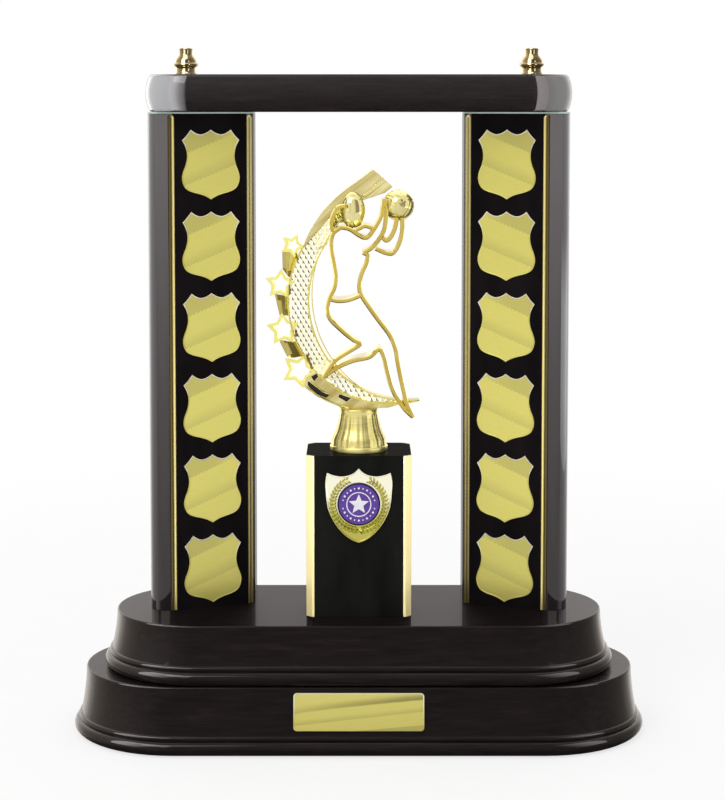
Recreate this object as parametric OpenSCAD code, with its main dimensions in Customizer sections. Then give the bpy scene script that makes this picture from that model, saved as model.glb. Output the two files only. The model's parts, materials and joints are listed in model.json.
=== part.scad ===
// Two-tier perpetual trophy: a stepped timber plinth carries two D-shaped columns with
// engraving shields, a tie beam held down by two finial nuts, and a plated figure on a
// black pedestal between the columns.
// Millimetres. The origin is on the ground at the middle of the plinth, +Z is up and the
// front faces -Y.

/* [Plinth] */
// Length of the lower tier along its top edge
lower_len = 326; // [310:1:350]
// Depth of the lower tier along its top edge
lower_depth = 112.4; // [106:0.2:124]
// Height of the lower tier above the ground
lower_top = 39.3; // [36:0.1:50]
// Length of the upper tier along its top edge
upper_len = 288.8; // [280:0.2:300]
// Depth of the upper tier along its top edge
upper_depth = 99.8; // [90:0.2:104]
// Height of the upper tier by itself
upper_h = 34; // [28:0.5:45]
// How far each tier's side leans out between its top edge and its moulding
side_flare = 3.2; // [0:0.1:5]
// Radius of the main bead round the foot of each tier
bead_r = 4.2; // [3:0.1:5]
// Radius of the small bead above the main one
small_bead_r = 1.9; // [1.2:0.1:2.4]
// Thickness of the felt sheet under the lower tier
felt_t = 1.5; // [1:0.1:3]
// Depth of the shallow recess that the felt sheet lies in
felt_recess = 1; // [0.5:0.1:2]
// Distance of the felt's edge from the edge of the foot
felt_margin = 6; // [3:0.5:12]

/* [Columns] */
// Distance between the two columns' inner faces
bay_w = 124.6; // [118:0.2:140]
// Half of the overall width across the two columns
column_out_x = 124; // [118:0.5:128]
// Height of each column
column_h = 294; // [262:1:330]
// Y of a column's inner front corner
column_in_y = 6.4; // [2:0.2:10]
// Y of a column's flat back
column_back_y = 26.5; // [24:0.5:32]
// Angle by which a column's front face turns towards the middle
toe_in = 21.3; // [12:0.1:24]
// Width of the black panel on each column
panel_w = 44.3; // [42:0.1:46]
// Thickness of the black panel
panel_t = 2.5; // [1.5:0.1:4]
// Width of each gold trim beside a panel
trim_w = 3.7; // [2.5:0.1:4.5]
// Timber left on each side of the trims
face_lip = 0.8; // [0.5:0.1:2]
// Thickness of the pad between a column and the beam
pad_t = 1; // [0.5:0.1:2]

/* [Shields] */
// Height of one engraving shield
shield_h = 41; // [34:0.5:42]
// Width of one engraving shield
shield_w = 35.4; // [28:0.2:40]
// Thickness of one engraving shield
shield_t = 0.8; // [0.5:0.1:1.5]
// Distance from the column's top to the first shield's top
shield_drop = 9.4; // [6:0.2:12]
// Distance from the last shield's point to the column's foot
shield_foot = 2.6; // [1:0.1:12]

/* [Beam] */
// Overall length of the beam
beam_len = 251.3; // [246:0.1:262]
// Overall depth of the beam
beam_depth = 54; // [50:0.5:66]
// Thickness of the beam
beam_h = 21.8; // [16:0.2:28]
// Bulge of the beam's rounded edge
beam_bulge = 2.5; // [1:0.1:4]

/* [Tie rods and finials] */
// Distance of each tie rod from the middle
rod_x = 101.7; // [96:0.1:104]
// Diameter of each tie rod
rod_d = 5; // [4:0.5:6]
// Length of rod inside a finial
rod_in_finial = 9; // [7:0.5:9.5]
// Height of a finial nut
finial_h = 15.5; // [14.5:0.1:20]
// Largest diameter of a finial nut
finial_d = 14.8; // [13:0.1:18]
// Diameter of the washers under the plinth
washer_d = 15; // [12:0.5:16]
// Thickness of the washers
washer_t = 1.2; // [0.8:0.1:2]
// Width across the flats of the hexagon nuts
nut_af = 8; // [7.5:0.5:10]
// Thickness of the hexagon nuts
nut_t = 4; // [3:0.2:5]
// Depth of the pockets for washers and nuts in the plinth's underside
pocket_h = 10; // [9:0.5:14]

/* [Pedestal] */
// Width of the pedestal
pedestal_w = 61.5; // [54:0.5:68]
// Depth of the pedestal
pedestal_depth = 46; // [42:0.5:56]
// Height of the pedestal
pedestal_h = 95.3; // [86:0.1:110]
// Y of the pedestal's front face
pedestal_front_y = -28.7; // [-32:0.1:-26]
// Size of the gold bevel along each upright corner
edge_c = 4.3; // [3:0.1:6]
// Thickness of the gold strips on the bevels
edge_t = 1.2; // [0.8:0.1:2]

/* [Badge and nameplate] */
// Diameter of the badge's round centre
badge_d = 25; // [24:0.5:26]
// Width of the black rim round the badge's centre
badge_rim_w = 0.7; // [0.4:0.1:1]
// Height of the badge's centre above the pedestal's foot
badge_z = 67.2; // [60:0.2:70]
// Width of the badge's shield
badge_w = 39; // [37:0.5:42]
// Height of the badge's shield
badge_h = 44.2; // [42:0.2:48]
// Thickness of the badge's shield
badge_t = 1.6; // [1:0.1:3]
// Length of the nameplate
plate_w = 75; // [60:1:90]
// Height of the nameplate
plate_h = 21.6; // [17:0.2:22]
// Thickness of the nameplate
plate_t = 0.8; // [0.5:0.1:1.5]

/* [Figure] */
// Height of the bell-shaped riser
riser_h = 24.9; // [20:0.1:30]
// Diameter of the riser's foot
riser_foot_d = 34.2; // [31:0.1:38]
// Diameter of the riser's top
riser_top_d = 23.3; // [21:0.1:25]
// Radius of the crescent's outer curve
crescent_r = 60.9; // [60:0.1:62]
// Radius of the crescent's inner curve
crescent_in_r = 58.4; // [57.6:0.1:59]
// Depth of the crescent from front to back
crescent_t = 9; // [8:0.5:12]
// Thickness of the player's outline
wire_d = 2.5; // [2:0.1:3]
// Radius of the ball
ball_r = 9.2; // [8:0.1:9.5]
// Half of the head's height
head_r = 10.2; // [9:0.1:11]
// Width of the stars' outline
star_line = 1.7; // [1.2:0.1:2]
// Thickness of the stars
star_t = 4; // [3:0.5:4.5]
// Diameter of the rod that holds the figure
figure_rod_d = 4; // [3:0.5:5]
// Length of that rod inside the crescent
rod_in_figure = 7; // [5:0.5:8]

/* [Fits] */
// Radial clearance round a rod in timber
rod_clear = 0.4; // [0.2:0.05:0.6]
// Radial clearance of the running fit of a finial on its rod
finial_clear = 0.05; // [0.02:0.01:0.1]
// Clearance at each side of a panel and its trims in their recess
panel_clear = 0.1; // [0.05:0.05:0.3]
// Air above the end of a rod in a blind hole
blind_air = 1; // [0.5:0.5:2]

/* [Hidden] */
$fn = 96;

left = -1;
right = 1;

// Colours
rosewood = [0.12, 0.07, 0.06];
black_laminate = [0.03, 0.03, 0.03];
plate_gold = [0.80, 0.75, 0.40];
bright_gold = [0.90, 0.76, 0.34];
brass = [0.75, 0.66, 0.42];
pale_green = [0.75, 0.86, 0.80];
steel = [0.70, 0.71, 0.73];
felt_green = [0.10, 0.22, 0.14];
badge_purple = [0.36, 0.22, 0.62];

// Levels
foot_z = felt_t - felt_recess;
felt_top_z = felt_t;
upper_top = lower_top + upper_h;
column_top = upper_top + column_h;
beam_z = column_top + pad_t;
beam_top = beam_z + beam_h;
pedestal_top = upper_top + pedestal_h;
riser_top = pedestal_top + riser_h;
pocket_top = felt_top_z + pocket_h;
washer_z = pocket_top - washer_t;
nut_z = washer_z - nut_t;
rod_low_z = nut_z - 1;

// Pedestal and figure axis
pedestal_y = pedestal_front_y + pedestal_depth / 2;

// Fasteners
rod_hole_r = rod_d / 2 + rod_clear;
figure_hole_r = figure_rod_d / 2 + rod_clear;
pocket_r = washer_d / 2 + 1;
screw_r = 2.2;
screw_head_r = 4.2;
screw_head_h = 3;
screw_in_upper = 16;
screw_x = 55;
screw_y = 22;

// Column face: A is its inner corner, B its outer one
face_len = panel_w + 2 * trim_w + 2 * panel_clear + 2 * face_lip;
face_dir = [cos(toe_in), -sin(toe_in)];
corner_a = [bay_w / 2, column_in_y];
corner_b = corner_a + face_len * face_dir;
face_mid = (corner_a + corner_b) / 2;
nose_r = (column_out_x - corner_b.x) / (1 + sin(toe_in));
nose_c = corner_b + nose_r * [sin(toe_in), cos(toe_in)];
cheek_r = column_back_y - nose_c.y;
cheek_c = [column_out_x - cheek_r, nose_c.y];
slot_w = panel_w + 2 * trim_w + 2 * panel_clear;
shields_per_column = 6;
shield_run = column_h - shield_drop - shield_foot - shield_h;
shield_pitch = shield_run / (shields_per_column - 1);

// Unit outline of an engraving shield: top spike at the origin, width 2 and height 1
function shield_outline() = [
    [0, 0], [0.16, -0.045], [0.37, -0.068], [0.56, -0.04], [0.69, 0],
    [0.84, -0.085], [0.99, -0.15], [0.87, -0.25], [0.82, -0.38], [0.87, -0.50],
    [0.96, -0.60], [1, -0.69], [0.96, -0.78], [0.85, -0.85], [0.65, -0.893],
    [0.42, -0.92], [0.24, -0.945], [0.11, -0.972]
];

// Unit outline of the badge's shield: disc centre at the origin, half width 1, height in
// parts of the half height
function badge_outline() = [
    [0, 0.95], [0.27, 0.77], [0.58, 0.74], [0.80, 0.78], [0.95, 0.84],
    [1, 0.60], [0.99, 0.35], [0.93, -0.11], [0.74, -0.49], [0.47, -0.79], [0.2, -0.96]
];

// Figure drawn in the X and Z plane from the middle of the riser's top
crescent_c = [18.8, 63];
crescent_in_c = [29.4, 63.4];
keel_c = [4.3, 53.5];
keel_r = 54.9;
crescent_cut_z = 94;
keel_left = 34;
keel_right = 28;
keel_h = 24;
top_plate = [
    [-32.2, 94], [-28.7, 108.2], [-17.9, 120.4], [-3.7, 131.2], [8.3, 140.4], [19.8, 129.5],
    [15.4, 126], [3, 121.8], [-3, 117.5], [-10, 111], [-14.4, 105.5], [-17.6, 100],
    [-20.3, 94]
];
star_data = [
    [[-39.5, 95.5], 7], [[-46.3, 72.6], 8.7], [[-45.2, 46.2], 9.5], [[-36.2, 21.5], 10]
];
head_c = [-3.5, 116.2];
ball_c = [24.1, 119.5];
player_lines = [
    [[-10.3, 106.6], [-15.1, 102.8], [-16.2, 95.1], [-14.8, 86.4], [-13.5, 77.7],
     [-14.5, 71.2], [-17.1, 65.7], [-18.4, 59.2], [-16.8, 53.7], [-10.3, 47.2],
     [-3.7, 41.8], [0.3, 39.6], [-0.4, 38], [-6.9, 34.1], [-14.6, 28.7], [-20.6, 19.5]],
    [[-10.3, 106.6], [-5.3, 105.5], [-0.4, 102.3], [3.3, 100.6], [6.1, 101.8],
     [10.5, 108.2], [13.2, 113.7], [14, 122]],
    [[0.7, 105.5], [3.3, 107.4], [6.7, 106.6], [8.6, 105]],
    [[-17.9, 65.5], [-12.4, 64.1], [-5.9, 64.7], [1.2, 67.4]],
    [[2.3, 91.9], [5, 90.6], [4.5, 86.4], [1.7, 79.9], [0.3, 73.4], [1.2, 67.9],
     [6.1, 60.3], [11.6, 52.7], [18.1, 44], [21.3, 36.4], [22.4, 29.9], [24.1, 21.1],
     [26.3, 11.3], [27.9, 4.8], [31.7, -3.4]],
    [[2.3, 91.9], [7.2, 94.6], [11.6, 99.5], [14.3, 105], [15, 112]],
    [[9.7, 94.4], [15.3, 91.9], [19.7, 91.7], [23, 96.3], [25.2, 103.9], [25.3, 112]],
    [[13.9, 100.6], [15.9, 99], [18.3, 100.6], [20.8, 105.5], [22.2, 112]],
    [[-20.6, 19.5], [-13.5, 24.9], [-3.7, 29.2], [6.1, 31.5], [11.6, 36], [14.3, 32],
     [16.4, 23.3], [19.7, 12.4], [25.7, 2.5], [31.7, -3.4]],
    [[-14.6, 103.4], [-16.2, 107.4], [-15.5, 112.4], [-12.4, 117.9], [-8, 119]]
];

// One half of a stadium-ended bar's outline, revolved round both ends and drawn between
// them. The children draw the half section to the right of the axis, at the middle of an
// end's circle.
module round_ended_bar(length, depth) {
    straight = length - depth;
    for (side = [left, right])
        translate([side * straight / 2, 0, 0])
            rotate(side * 90 - 180) rotate_extrude(angle = 180) children();
    rotate([90, 0, 90]) linear_extrude(straight, center = true) {
        children();
        mirror([1, 0]) children();
    }
}

// Half section of a plinth tier: a leaning side above a small bead and a main bead
module tier_section(half, low_z, top_z) {
    foot = half + side_flare;
    small_z = low_z + 2 * bead_r + small_bead_r * 0.6;
    polygon([
        [0, low_z], [foot, low_z], [foot, small_z + small_bead_r * 0.9], [half, top_z], [0, top_z]
    ]);
    translate([foot, low_z + bead_r]) circle(bead_r);
    translate([foot - small_bead_r * 0.2, small_z]) circle(small_bead_r);
}

module rod_axis(side) {
    translate([side * rod_x, 0, 0]) children();
}

module figure_axis() {
    translate([0, pedestal_y, 0]) children();
}

module screw_axes() {
    for (x = [-screw_x, screw_x], y = [-screw_y, screw_y])
        translate([x, y, 0]) children();
}

// Lower tier with pockets for the rods' nuts and a recess for the felt
module lower_plinth() {
    color(rosewood) difference() {
        round_ended_bar(lower_len, lower_depth)
            tier_section(lower_depth / 2, foot_z, lower_top);
        translate([0, 0, foot_z - 1]) felt_outline(felt_recess + 1, 0);
        for (side = [left, right]) rod_axis(side) {
            cylinder(pocket_top, r = pocket_r);
            cylinder(lower_top + 1, r = rod_hole_r);
        }
        figure_axis() {
            cylinder(pocket_top, r = pocket_r);
            cylinder(lower_top + 1, r = figure_hole_r);
        }
        screw_axes() {
            cylinder(felt_top_z + screw_head_h, r = screw_head_r + rod_clear);
            cylinder(lower_top + 1, r = screw_r + rod_clear);
        }
    }
}

// Upper tier
module upper_plinth() {
    color(rosewood) difference() {
        round_ended_bar(upper_len, upper_depth)
            tier_section(upper_depth / 2, lower_top, upper_top);
        for (side = [left, right])
            rod_axis(side) translate([0, 0, lower_top - 1]) cylinder(upper_h + 2, r = rod_hole_r);
        figure_axis() translate([0, 0, lower_top - 1]) cylinder(upper_h + 2, r = figure_hole_r);
        screw_axes() translate([0, 0, lower_top - 1]) cylinder(screw_in_upper + 1, r = screw_r);
    }
}

module felt_outline(height, inset) {
    felt_depth = lower_depth + 2 * side_flare - 2 * felt_margin - 2 * inset;
    felt_len = lower_len + 2 * side_flare - 2 * felt_margin - 2 * inset;
    round_ended_bar(felt_len, felt_depth) square([felt_depth / 2, height]);
}

// Felt sheet that the trophy stands on
module base_felt() {
    color(felt_green) felt_outline(felt_t, panel_clear);
}

// Screws that hold the upper tier on the lower one
module plinth_screws() {
    color(steel) screw_axes() {
        translate([0, 0, felt_top_z]) cylinder(screw_head_h, r = screw_head_r);
        translate([0, 0, felt_top_z]) cylinder(lower_top - felt_top_z + screw_in_upper - 1, r = screw_r);
    }
}

// Draws its children for the right-hand column, or mirrored for the left-hand one
module on_side(side) {
    if (side == right) children();
    else mirror([1, 0, 0]) children();
}

// Frame of a column's front face: X runs outwards along it and -Y points out of it
module on_face() {
    translate([face_mid.x, face_mid.y, 0]) rotate(-toe_in) children();
}

// Section of the right-hand column: flat toed-in face, tight round nose, wide round cheek
module column_section() {
    polygon([
        corner_a, corner_b, nose_c, [cheek_c.x, column_back_y], [corner_a.x, column_back_y]
    ]);
    translate(nose_c) circle(nose_r);
    intersection() {
        translate(cheek_c) circle(cheek_r);
        polygon([
            nose_c, [column_out_x + 1, nose_c.y], [column_out_x + 1, column_back_y + 1],
            [cheek_c.x - 1, column_back_y + 1]
        ]);
    }
}

module column(side) {
    color(rosewood) on_side(side) difference() {
        translate([0, 0, upper_top]) linear_extrude(column_h) column_section();
        on_face() translate([-slot_w / 2, -1, upper_top - 1])
            cube([slot_w, 1 + panel_t, column_h + 2]);
        translate([rod_x, 0, upper_top - 1]) cylinder(column_h + 2, r = rod_hole_r);
    }
}

module panel(side) {
    color(black_laminate) on_side(side) on_face()
        translate([-panel_w / 2, 0, upper_top]) cube([panel_w, panel_t, column_h]);
}

// Gold trim with two beads; place is 1 beside the nose and -1 beside the bay
module trim(side, place) {
    bead = trim_w / 4;
    color(plate_gold) on_side(side) on_face()
        translate([place * (panel_w + trim_w) / 2, 0, upper_top])
            linear_extrude(column_h) {
                translate([-trim_w / 2, 0]) square([trim_w, panel_t]);
                for (x = [-bead, bead]) translate([x, 0]) circle(bead);
            }
}

module top_pad(side) {
    color(pale_green) on_side(side) difference() {
        translate([0, 0, column_top]) linear_extrude(pad_t) column_section();
        translate([rod_x, 0, column_top - 1]) cylinder(pad_t + 2, r = rod_hole_r);
    }
}

function mirrored(points) = concat(
    points, [for (i = [len(points) - 1:-1:0]) if (points[i].x > 0) [-points[i].x, points[i].y]]
);

// One engraving shield; the first is at the top of its column
module shield(side, number) {
    top_z = column_top - shield_drop - (number - 1) * shield_pitch;
    tip = [[0, -1]];
    points = mirrored(concat(shield_outline(), tip));
    color(plate_gold) on_side(side) on_face() translate([0, 0, top_z])
        rotate([90, 0, 0]) linear_extrude(shield_t)
            polygon([for (p = points) [p.x * shield_w / 2, p.y * shield_h]]);
}

// Beam with a bulging edge, drilled for the tie rods
module beam() {
    edge_r = (pow(beam_bulge, 2) + pow(beam_h / 2, 2)) / (2 * beam_bulge);
    color(rosewood) difference() {
        round_ended_bar(beam_len, beam_depth) intersection() {
            translate([0, beam_z]) square([beam_depth / 2, beam_h]);
            translate([beam_depth / 2 - edge_r, beam_z + beam_h / 2]) circle(edge_r);
        }
        for (side = [left, right])
            rod_axis(side) translate([0, 0, beam_z - 1]) cylinder(beam_h + 2, r = rod_hole_r);
    }
}

// Rod from the pocket under the plinth up into the finial
module tie_rod(side) {
    color(steel) rod_axis(side) translate([0, 0, rod_low_z])
        cylinder(beam_top + rod_in_finial - rod_low_z, d = rod_d);
}

module washer(hole_r) {
    difference() {
        cylinder(washer_t, d = washer_d);
        translate([0, 0, -1]) cylinder(washer_t + 2, r = hole_r);
    }
}

module hex_nut(hole_r) {
    difference() {
        cylinder(nut_t, d = nut_af / cos(30), $fn = 6);
        translate([0, 0, -1]) cylinder(nut_t + 2, r = hole_r);
    }
}

module tie_rod_washers() {
    color(steel) for (side = [left, right])
        rod_axis(side) translate([0, 0, washer_z]) washer(rod_d / 2 + finial_clear);
}

module tie_rod_nuts() {
    color(steel) for (side = [left, right])
        rod_axis(side) translate([0, 0, nut_z]) hex_nut(rod_d / 2 + finial_clear);
}

// Turned finial nut with a blind hole for the rod's end
module finial(side) {
    r = finial_d / 2;
    h = finial_h;
    color(brass) rod_axis(side) translate([0, 0, beam_top]) difference() {
        rotate_extrude() {
            polygon([
                [0, 0], [0.83 * r, 0], [0.83 * r, 0.06 * h], [0.73 * r, 0.14 * h],
                [0.73 * r, 0.21 * h], [0.86 * r, 0.31 * h], [0.86 * r, 0.45 * h],
                [0.58 * r, 0.68 * h], [0.48 * r, 0.77 * h], [0.55 * r, 0.88 * h],
                [0.55 * r, 0.96 * h], [0.47 * r, h], [0, h]
            ]);
            translate([0.86 * r, 0.38 * h]) circle(0.14 * r);
        }
        translate([0, 0, -1])
            cylinder(rod_in_finial + blind_air + 1, r = rod_d / 2 + finial_clear);
    }
}

// Plan of the pedestal with its upright corners cut off by c
module bevelled_plan(c) {
    w = pedestal_w / 2;
    d = pedestal_depth / 2;
    polygon([
        [w - c, -d], [w, c - d], [w, d - c], [w - c, d],
        [c - w, d], [-w, d - c], [-w, c - d], [c - w, -d]
    ]);
}

module pedestal_block() {
    color(black_laminate) figure_axis() difference() {
        translate([0, 0, upper_top]) linear_extrude(pedestal_h)
            bevelled_plan(edge_c + edge_t * sqrt(2));
        translate([0, 0, upper_top - 1]) cylinder(pedestal_h + 2, r = figure_hole_r);
    }
}

// Gold strip on one upright corner; sx and sy choose the corner
module pedestal_edge(sx, sy) {
    color(bright_gold) figure_axis() intersection() {
        translate([0, 0, upper_top]) linear_extrude(pedestal_h) difference() {
            bevelled_plan(edge_c);
            bevelled_plan(edge_c + edge_t * sqrt(2));
        }
        translate([sx * pedestal_w / 2, sy * pedestal_depth / 2, upper_top + pedestal_h / 2])
            cube([pedestal_w / 2, pedestal_depth / 2, pedestal_h + 2], center = true);
    }
}

// Frame of the pedestal's front face at the badge's centre, with +Z towards the viewer
module on_badge() {
    translate([0, pedestal_front_y, upper_top + badge_z]) rotate([90, 0, 0]) children();
}

module badge_shield() {
    tip = [[0, -1.03]];
    points = mirrored(concat(badge_outline(), tip));
    color(bright_gold) on_badge() linear_extrude(badge_t)
        polygon([for (p = points) [p.x * badge_w / 2, p.y * badge_h / 2]]);
}

module badge_rim() {
    color(black_laminate) on_badge() translate([0, 0, badge_t]) difference() {
        cylinder(1, d = badge_d);
        translate([0, 0, -1]) cylinder(3, d = badge_d - 2 * badge_rim_w);
    }
}

module badge_disc() {
    color(badge_purple) on_badge() translate([0, 0, badge_t])
        cylinder(0.8, d = badge_d - 2 * badge_rim_w);
}

// Nameplate on the lower tier's leaning front
module nameplate() {
    moulding_z = foot_z + 2 * bead_r + small_bead_r * 1.5;
    lean = atan(side_flare / (lower_top - moulding_z));
    face_z = (lower_top + moulding_z) / 2;
    corner = 2;
    color(plate_gold) translate([0, -(lower_depth + side_flare) / 2, face_z])
        rotate([90 - lean, 0, 0]) linear_extrude(plate_t) union() {
            square([plate_w - 2 * corner, plate_h], center = true);
            square([plate_w, plate_h - 2 * corner], center = true);
            for (x = [-1, 1], y = [-1, 1])
                translate([x * (plate_w / 2 - corner), y * (plate_h / 2 - corner)]) circle(corner);
        }
}

// Bell-shaped riser under the figure
module figure_riser() {
    foot = riser_foot_d / 2;
    top = riser_top_d / 2;
    h = riser_h;
    color(bright_gold) figure_axis() translate([0, 0, pedestal_top]) difference() {
        rotate_extrude() polygon([
            [0, 0], [foot, 0], [foot, 0.11 * h], [foot * 0.97, 0.15 * h],
            [foot * 0.93, 0.33 * h], [top * 1.2, 0.45 * h], [top * 1.08, 0.6 * h],
            [top * 0.98, 0.88 * h], [top, 0.91 * h], [top, h], [0, h]
        ]);
        translate([0, 0, -1]) cylinder(h + 2, r = figure_hole_r);
    }
}

// Draws a flat shape of the figure upright, from y_front back through depth
module upright(y_front, depth) {
    figure_axis() translate([0, y_front + depth, riser_top])
        rotate([90, 0, 0]) linear_extrude(depth) children();
}

// Solid inside the crescent's outer curve
module crescent_disc() {
    translate(crescent_c) circle(crescent_r);
}

// Flat crescent with its smooth plate at the top
module crescent_plan() {
    difference() {
        intersection() {
            crescent_disc();
            translate([crescent_c.x - crescent_r, 0]) square([2 * crescent_r, crescent_cut_z]);
        }
        translate(crescent_in_c) circle(crescent_in_r);
    }
    polygon(top_plate);
}

// Wider back of the crescent's foot, which rests on the riser
module keel_plan() {
    difference() {
        intersection() {
            translate(keel_c) circle(keel_r);
            translate([-keel_left, 0]) square([keel_left + keel_right, keel_h]);
        }
        translate(crescent_in_c) circle(crescent_in_r);
    }
}

module figure_crescent() {
    color(bright_gold) difference() {
        union() {
            upright(-crescent_t / 2, crescent_t) crescent_plan();
            upright(-crescent_t / 4, crescent_t * 3 / 4) keel_plan();
        }
        figure_axis() translate([0, 0, riser_top - 1])
            cylinder(rod_in_figure + blind_air + 1, r = figure_rod_d / 2 + finial_clear);
    }
}

function star_points(c, r, k) = [
    for (i = [0:9]) c + (i % 2 == 0 ? r : r * 0.48 ) * k * [sin(i * 36), cos(i * 36)]
];

// Bar from one star to the next, along the crescent
module star_tail(a, b) {
    polygon([a[0] - [0.55 * a[1], 0], a[0] + [0.55 * a[1], 0], b[0] + [b[1], 0.4 * b[1]], b[0]]);
}

module star_outlines(k) {
    for (s = star_data) polygon(star_points(s[0], s[1], k));
}

// Four hollow stars with their tails, against the crescent's outer curve
module figure_stars() {
    color(bright_gold) upright(-crescent_t / 4 - star_t / 2, star_t) difference() {
        union() {
            star_outlines(1);
            for (i = [0:2]) star_tail(star_data[i], star_data[i + 1]);
        }
        for (s = star_data)
            polygon(star_points(s[0], s[1], 1 - 2.1 * star_line / s[1]));
        crescent_plan();
        keel_plan();
    }
}

// Smooth curve through a list of points, with steps points on each stretch
function curve(p, steps) = [
    for (i = [0:len(p) - 2], s = [0:steps - 1])
        let (
            t = s / steps, a = p[max(i - 1, 0)], b = p[i], c = p[i + 1],
            d = p[min(i + 2, len(p) - 1)]
        ) 0.5 * (2 * b + (c - a) * t + (2 * a - 5 * b + 4 * c - d) * pow(t, 2)
            + (3 * b - a - 3 * c + d) * pow(t, 3)),
    p[len(p) - 1]
];

// Round bar along a curve in the X and Z plane
module wire(points) {
    path = curve(points, 2);
    for (i = [0:len(path) - 2])
        hull() for (p = [path[i], path[i + 1]])
            translate([p.x, 0, p.y]) sphere(d = wire_d, $fn = 8);
}

// Player drawn as an outline, with a plain egg-shaped head and a ball overhead
module figure_player() {
    head_depth = head_r * 0.45;
    color(bright_gold) figure_axis()
        translate([0, -(crescent_t + wire_d) / 2, riser_top]) {
            for (points = player_lines) wire(points);
            translate([ball_c.x, 0, ball_c.y]) sphere(ball_r, $fn = 28);
            translate([head_c.x, wire_d / 2 - head_depth, head_c.y])
                scale([0.63, 0.45, 1]) sphere(head_r, $fn = 24);
            translate([head_c.x, 0, head_c.y - 1.25 * head_r]) cylinder(head_r / 2, d = wire_d, $fn = 8);
        }
}

module figure_rod() {
    color(steel) figure_axis() translate([0, 0, rod_low_z])
        cylinder(riser_top + rod_in_figure - rod_low_z, d = figure_rod_d);
}

module figure_rod_washer() {
    color(steel) figure_axis() translate([0, 0, washer_z]) washer(figure_rod_d / 2 + finial_clear);
}

module figure_rod_nut() {
    color(steel) figure_axis() translate([0, 0, nut_z]) hex_nut(figure_rod_d / 2 + finial_clear);
}

lower_plinth();
upper_plinth();
base_felt();
plinth_screws();
column(left);  // left_column
column(right);  // right_column
panel(left);  // left_panel
panel(right);  // right_panel
trim(left, 1);  // left_outer_trim
trim(left, -1);  // left_inner_trim
trim(right, 1);  // right_outer_trim
trim(right, -1);  // right_inner_trim
top_pad(left);  // left_top_pad
top_pad(right);  // right_top_pad
shield(left, 1);  // left_shield_1
shield(left, 2);  // left_shield_2
shield(left, 3);  // left_shield_3
shield(left, 4);  // left_shield_4
shield(left, 5);  // left_shield_5
shield(left, 6);  // left_shield_6
shield(right, 1);  // right_shield_1
shield(right, 2);  // right_shield_2
shield(right, 3);  // right_shield_3
shield(right, 4);  // right_shield_4
shield(right, 5);  // right_shield_5
shield(right, 6);  // right_shield_6
beam();
tie_rod(left);  // left_tie_rod
tie_rod(right);  // right_tie_rod
tie_rod_washers();
tie_rod_nuts();
finial(left);  // left_finial
finial(right);  // right_finial
pedestal_block();
pedestal_edge(left, -1);  // pedestal_edge_front_left
pedestal_edge(right, -1);  // pedestal_edge_front_right
pedestal_edge(left, 1);  // pedestal_edge_back_left
pedestal_edge(right, 1);  // pedestal_edge_back_right
badge_shield();
badge_rim();
badge_disc();
nameplate();
figure_riser();
figure_crescent();
figure_stars();
figure_player();
figure_rod();
figure_rod_washer();
figure_rod_nut();
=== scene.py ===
# %% [markdown]
# # A two-tier perpetual trophy
# This trophy stands for years in a cabinet and gets one engraved shield each season. A stepped
# rosewood plinth carries two rounded columns, a beam ties them together at the top, and a plated
# figure stands on a black pedestal in the bay between them.
#
# The solid parts were designed first, in a CAD program. They come in here as a frame that doesn't
# move, so each new piece can take its place and size from the part that it dresses. We could also
# type every position by hand, but then a changed size would leave the pieces behind.

# %% Load the frame
import json
import math

import bpy
from mathutils import Matrix, Vector

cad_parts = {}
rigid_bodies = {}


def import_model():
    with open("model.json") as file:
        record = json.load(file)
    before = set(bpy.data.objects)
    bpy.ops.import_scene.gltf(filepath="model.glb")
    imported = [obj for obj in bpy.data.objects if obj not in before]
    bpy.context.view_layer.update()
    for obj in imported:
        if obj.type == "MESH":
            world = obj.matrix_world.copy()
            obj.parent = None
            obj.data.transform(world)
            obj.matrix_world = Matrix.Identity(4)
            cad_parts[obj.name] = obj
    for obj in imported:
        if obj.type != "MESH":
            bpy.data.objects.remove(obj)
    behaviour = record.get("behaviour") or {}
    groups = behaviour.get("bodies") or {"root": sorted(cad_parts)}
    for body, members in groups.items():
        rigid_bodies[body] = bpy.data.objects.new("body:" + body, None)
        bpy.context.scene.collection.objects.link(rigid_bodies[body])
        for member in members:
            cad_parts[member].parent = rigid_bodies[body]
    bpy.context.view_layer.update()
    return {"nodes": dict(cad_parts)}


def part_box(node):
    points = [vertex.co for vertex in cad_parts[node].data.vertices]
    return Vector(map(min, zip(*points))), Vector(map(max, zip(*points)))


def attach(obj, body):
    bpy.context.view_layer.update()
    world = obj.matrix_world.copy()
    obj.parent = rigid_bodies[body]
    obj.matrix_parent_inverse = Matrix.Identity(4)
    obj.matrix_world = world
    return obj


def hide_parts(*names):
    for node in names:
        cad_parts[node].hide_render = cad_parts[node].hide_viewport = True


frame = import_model()
mm = 0.001
print("parts in the frame:", len(frame["nodes"]))

# %% [markdown]
# # Drawing in edit mode
# Most pieces of this trophy start as a line: half of a turned profile, or the outline of a plate.
# In the viewport we would add a plane, merge it to one corner and press E to draw the line point by
# point. `trace` does just that. A line can then be spun, pushed out into a bar, or filled.

# %% Trace a line, fill it, and push it out
def select_only(*pieces):
    bpy.ops.object.select_all(action="DESELECT")
    for piece in pieces:
        piece.select_set(True)
    bpy.context.view_layer.objects.active = pieces[0]


def add_mesh(name, add_primitive, **settings):
    """Add a primitive at the origin, as Shift A does."""
    bpy.ops.object.select_all(action="DESELECT")
    add_primitive(location=(0, 0, 0), **settings)
    bpy.context.object.name = name
    return bpy.context.object


def edit_mesh(select="SELECT", by=None):
    bpy.ops.object.mode_set(mode="EDIT")
    if by:
        bpy.ops.mesh.select_mode(type=by)
    bpy.ops.mesh.select_all(action=select)


def leave_edit():
    bpy.ops.object.mode_set(mode="OBJECT")


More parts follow.
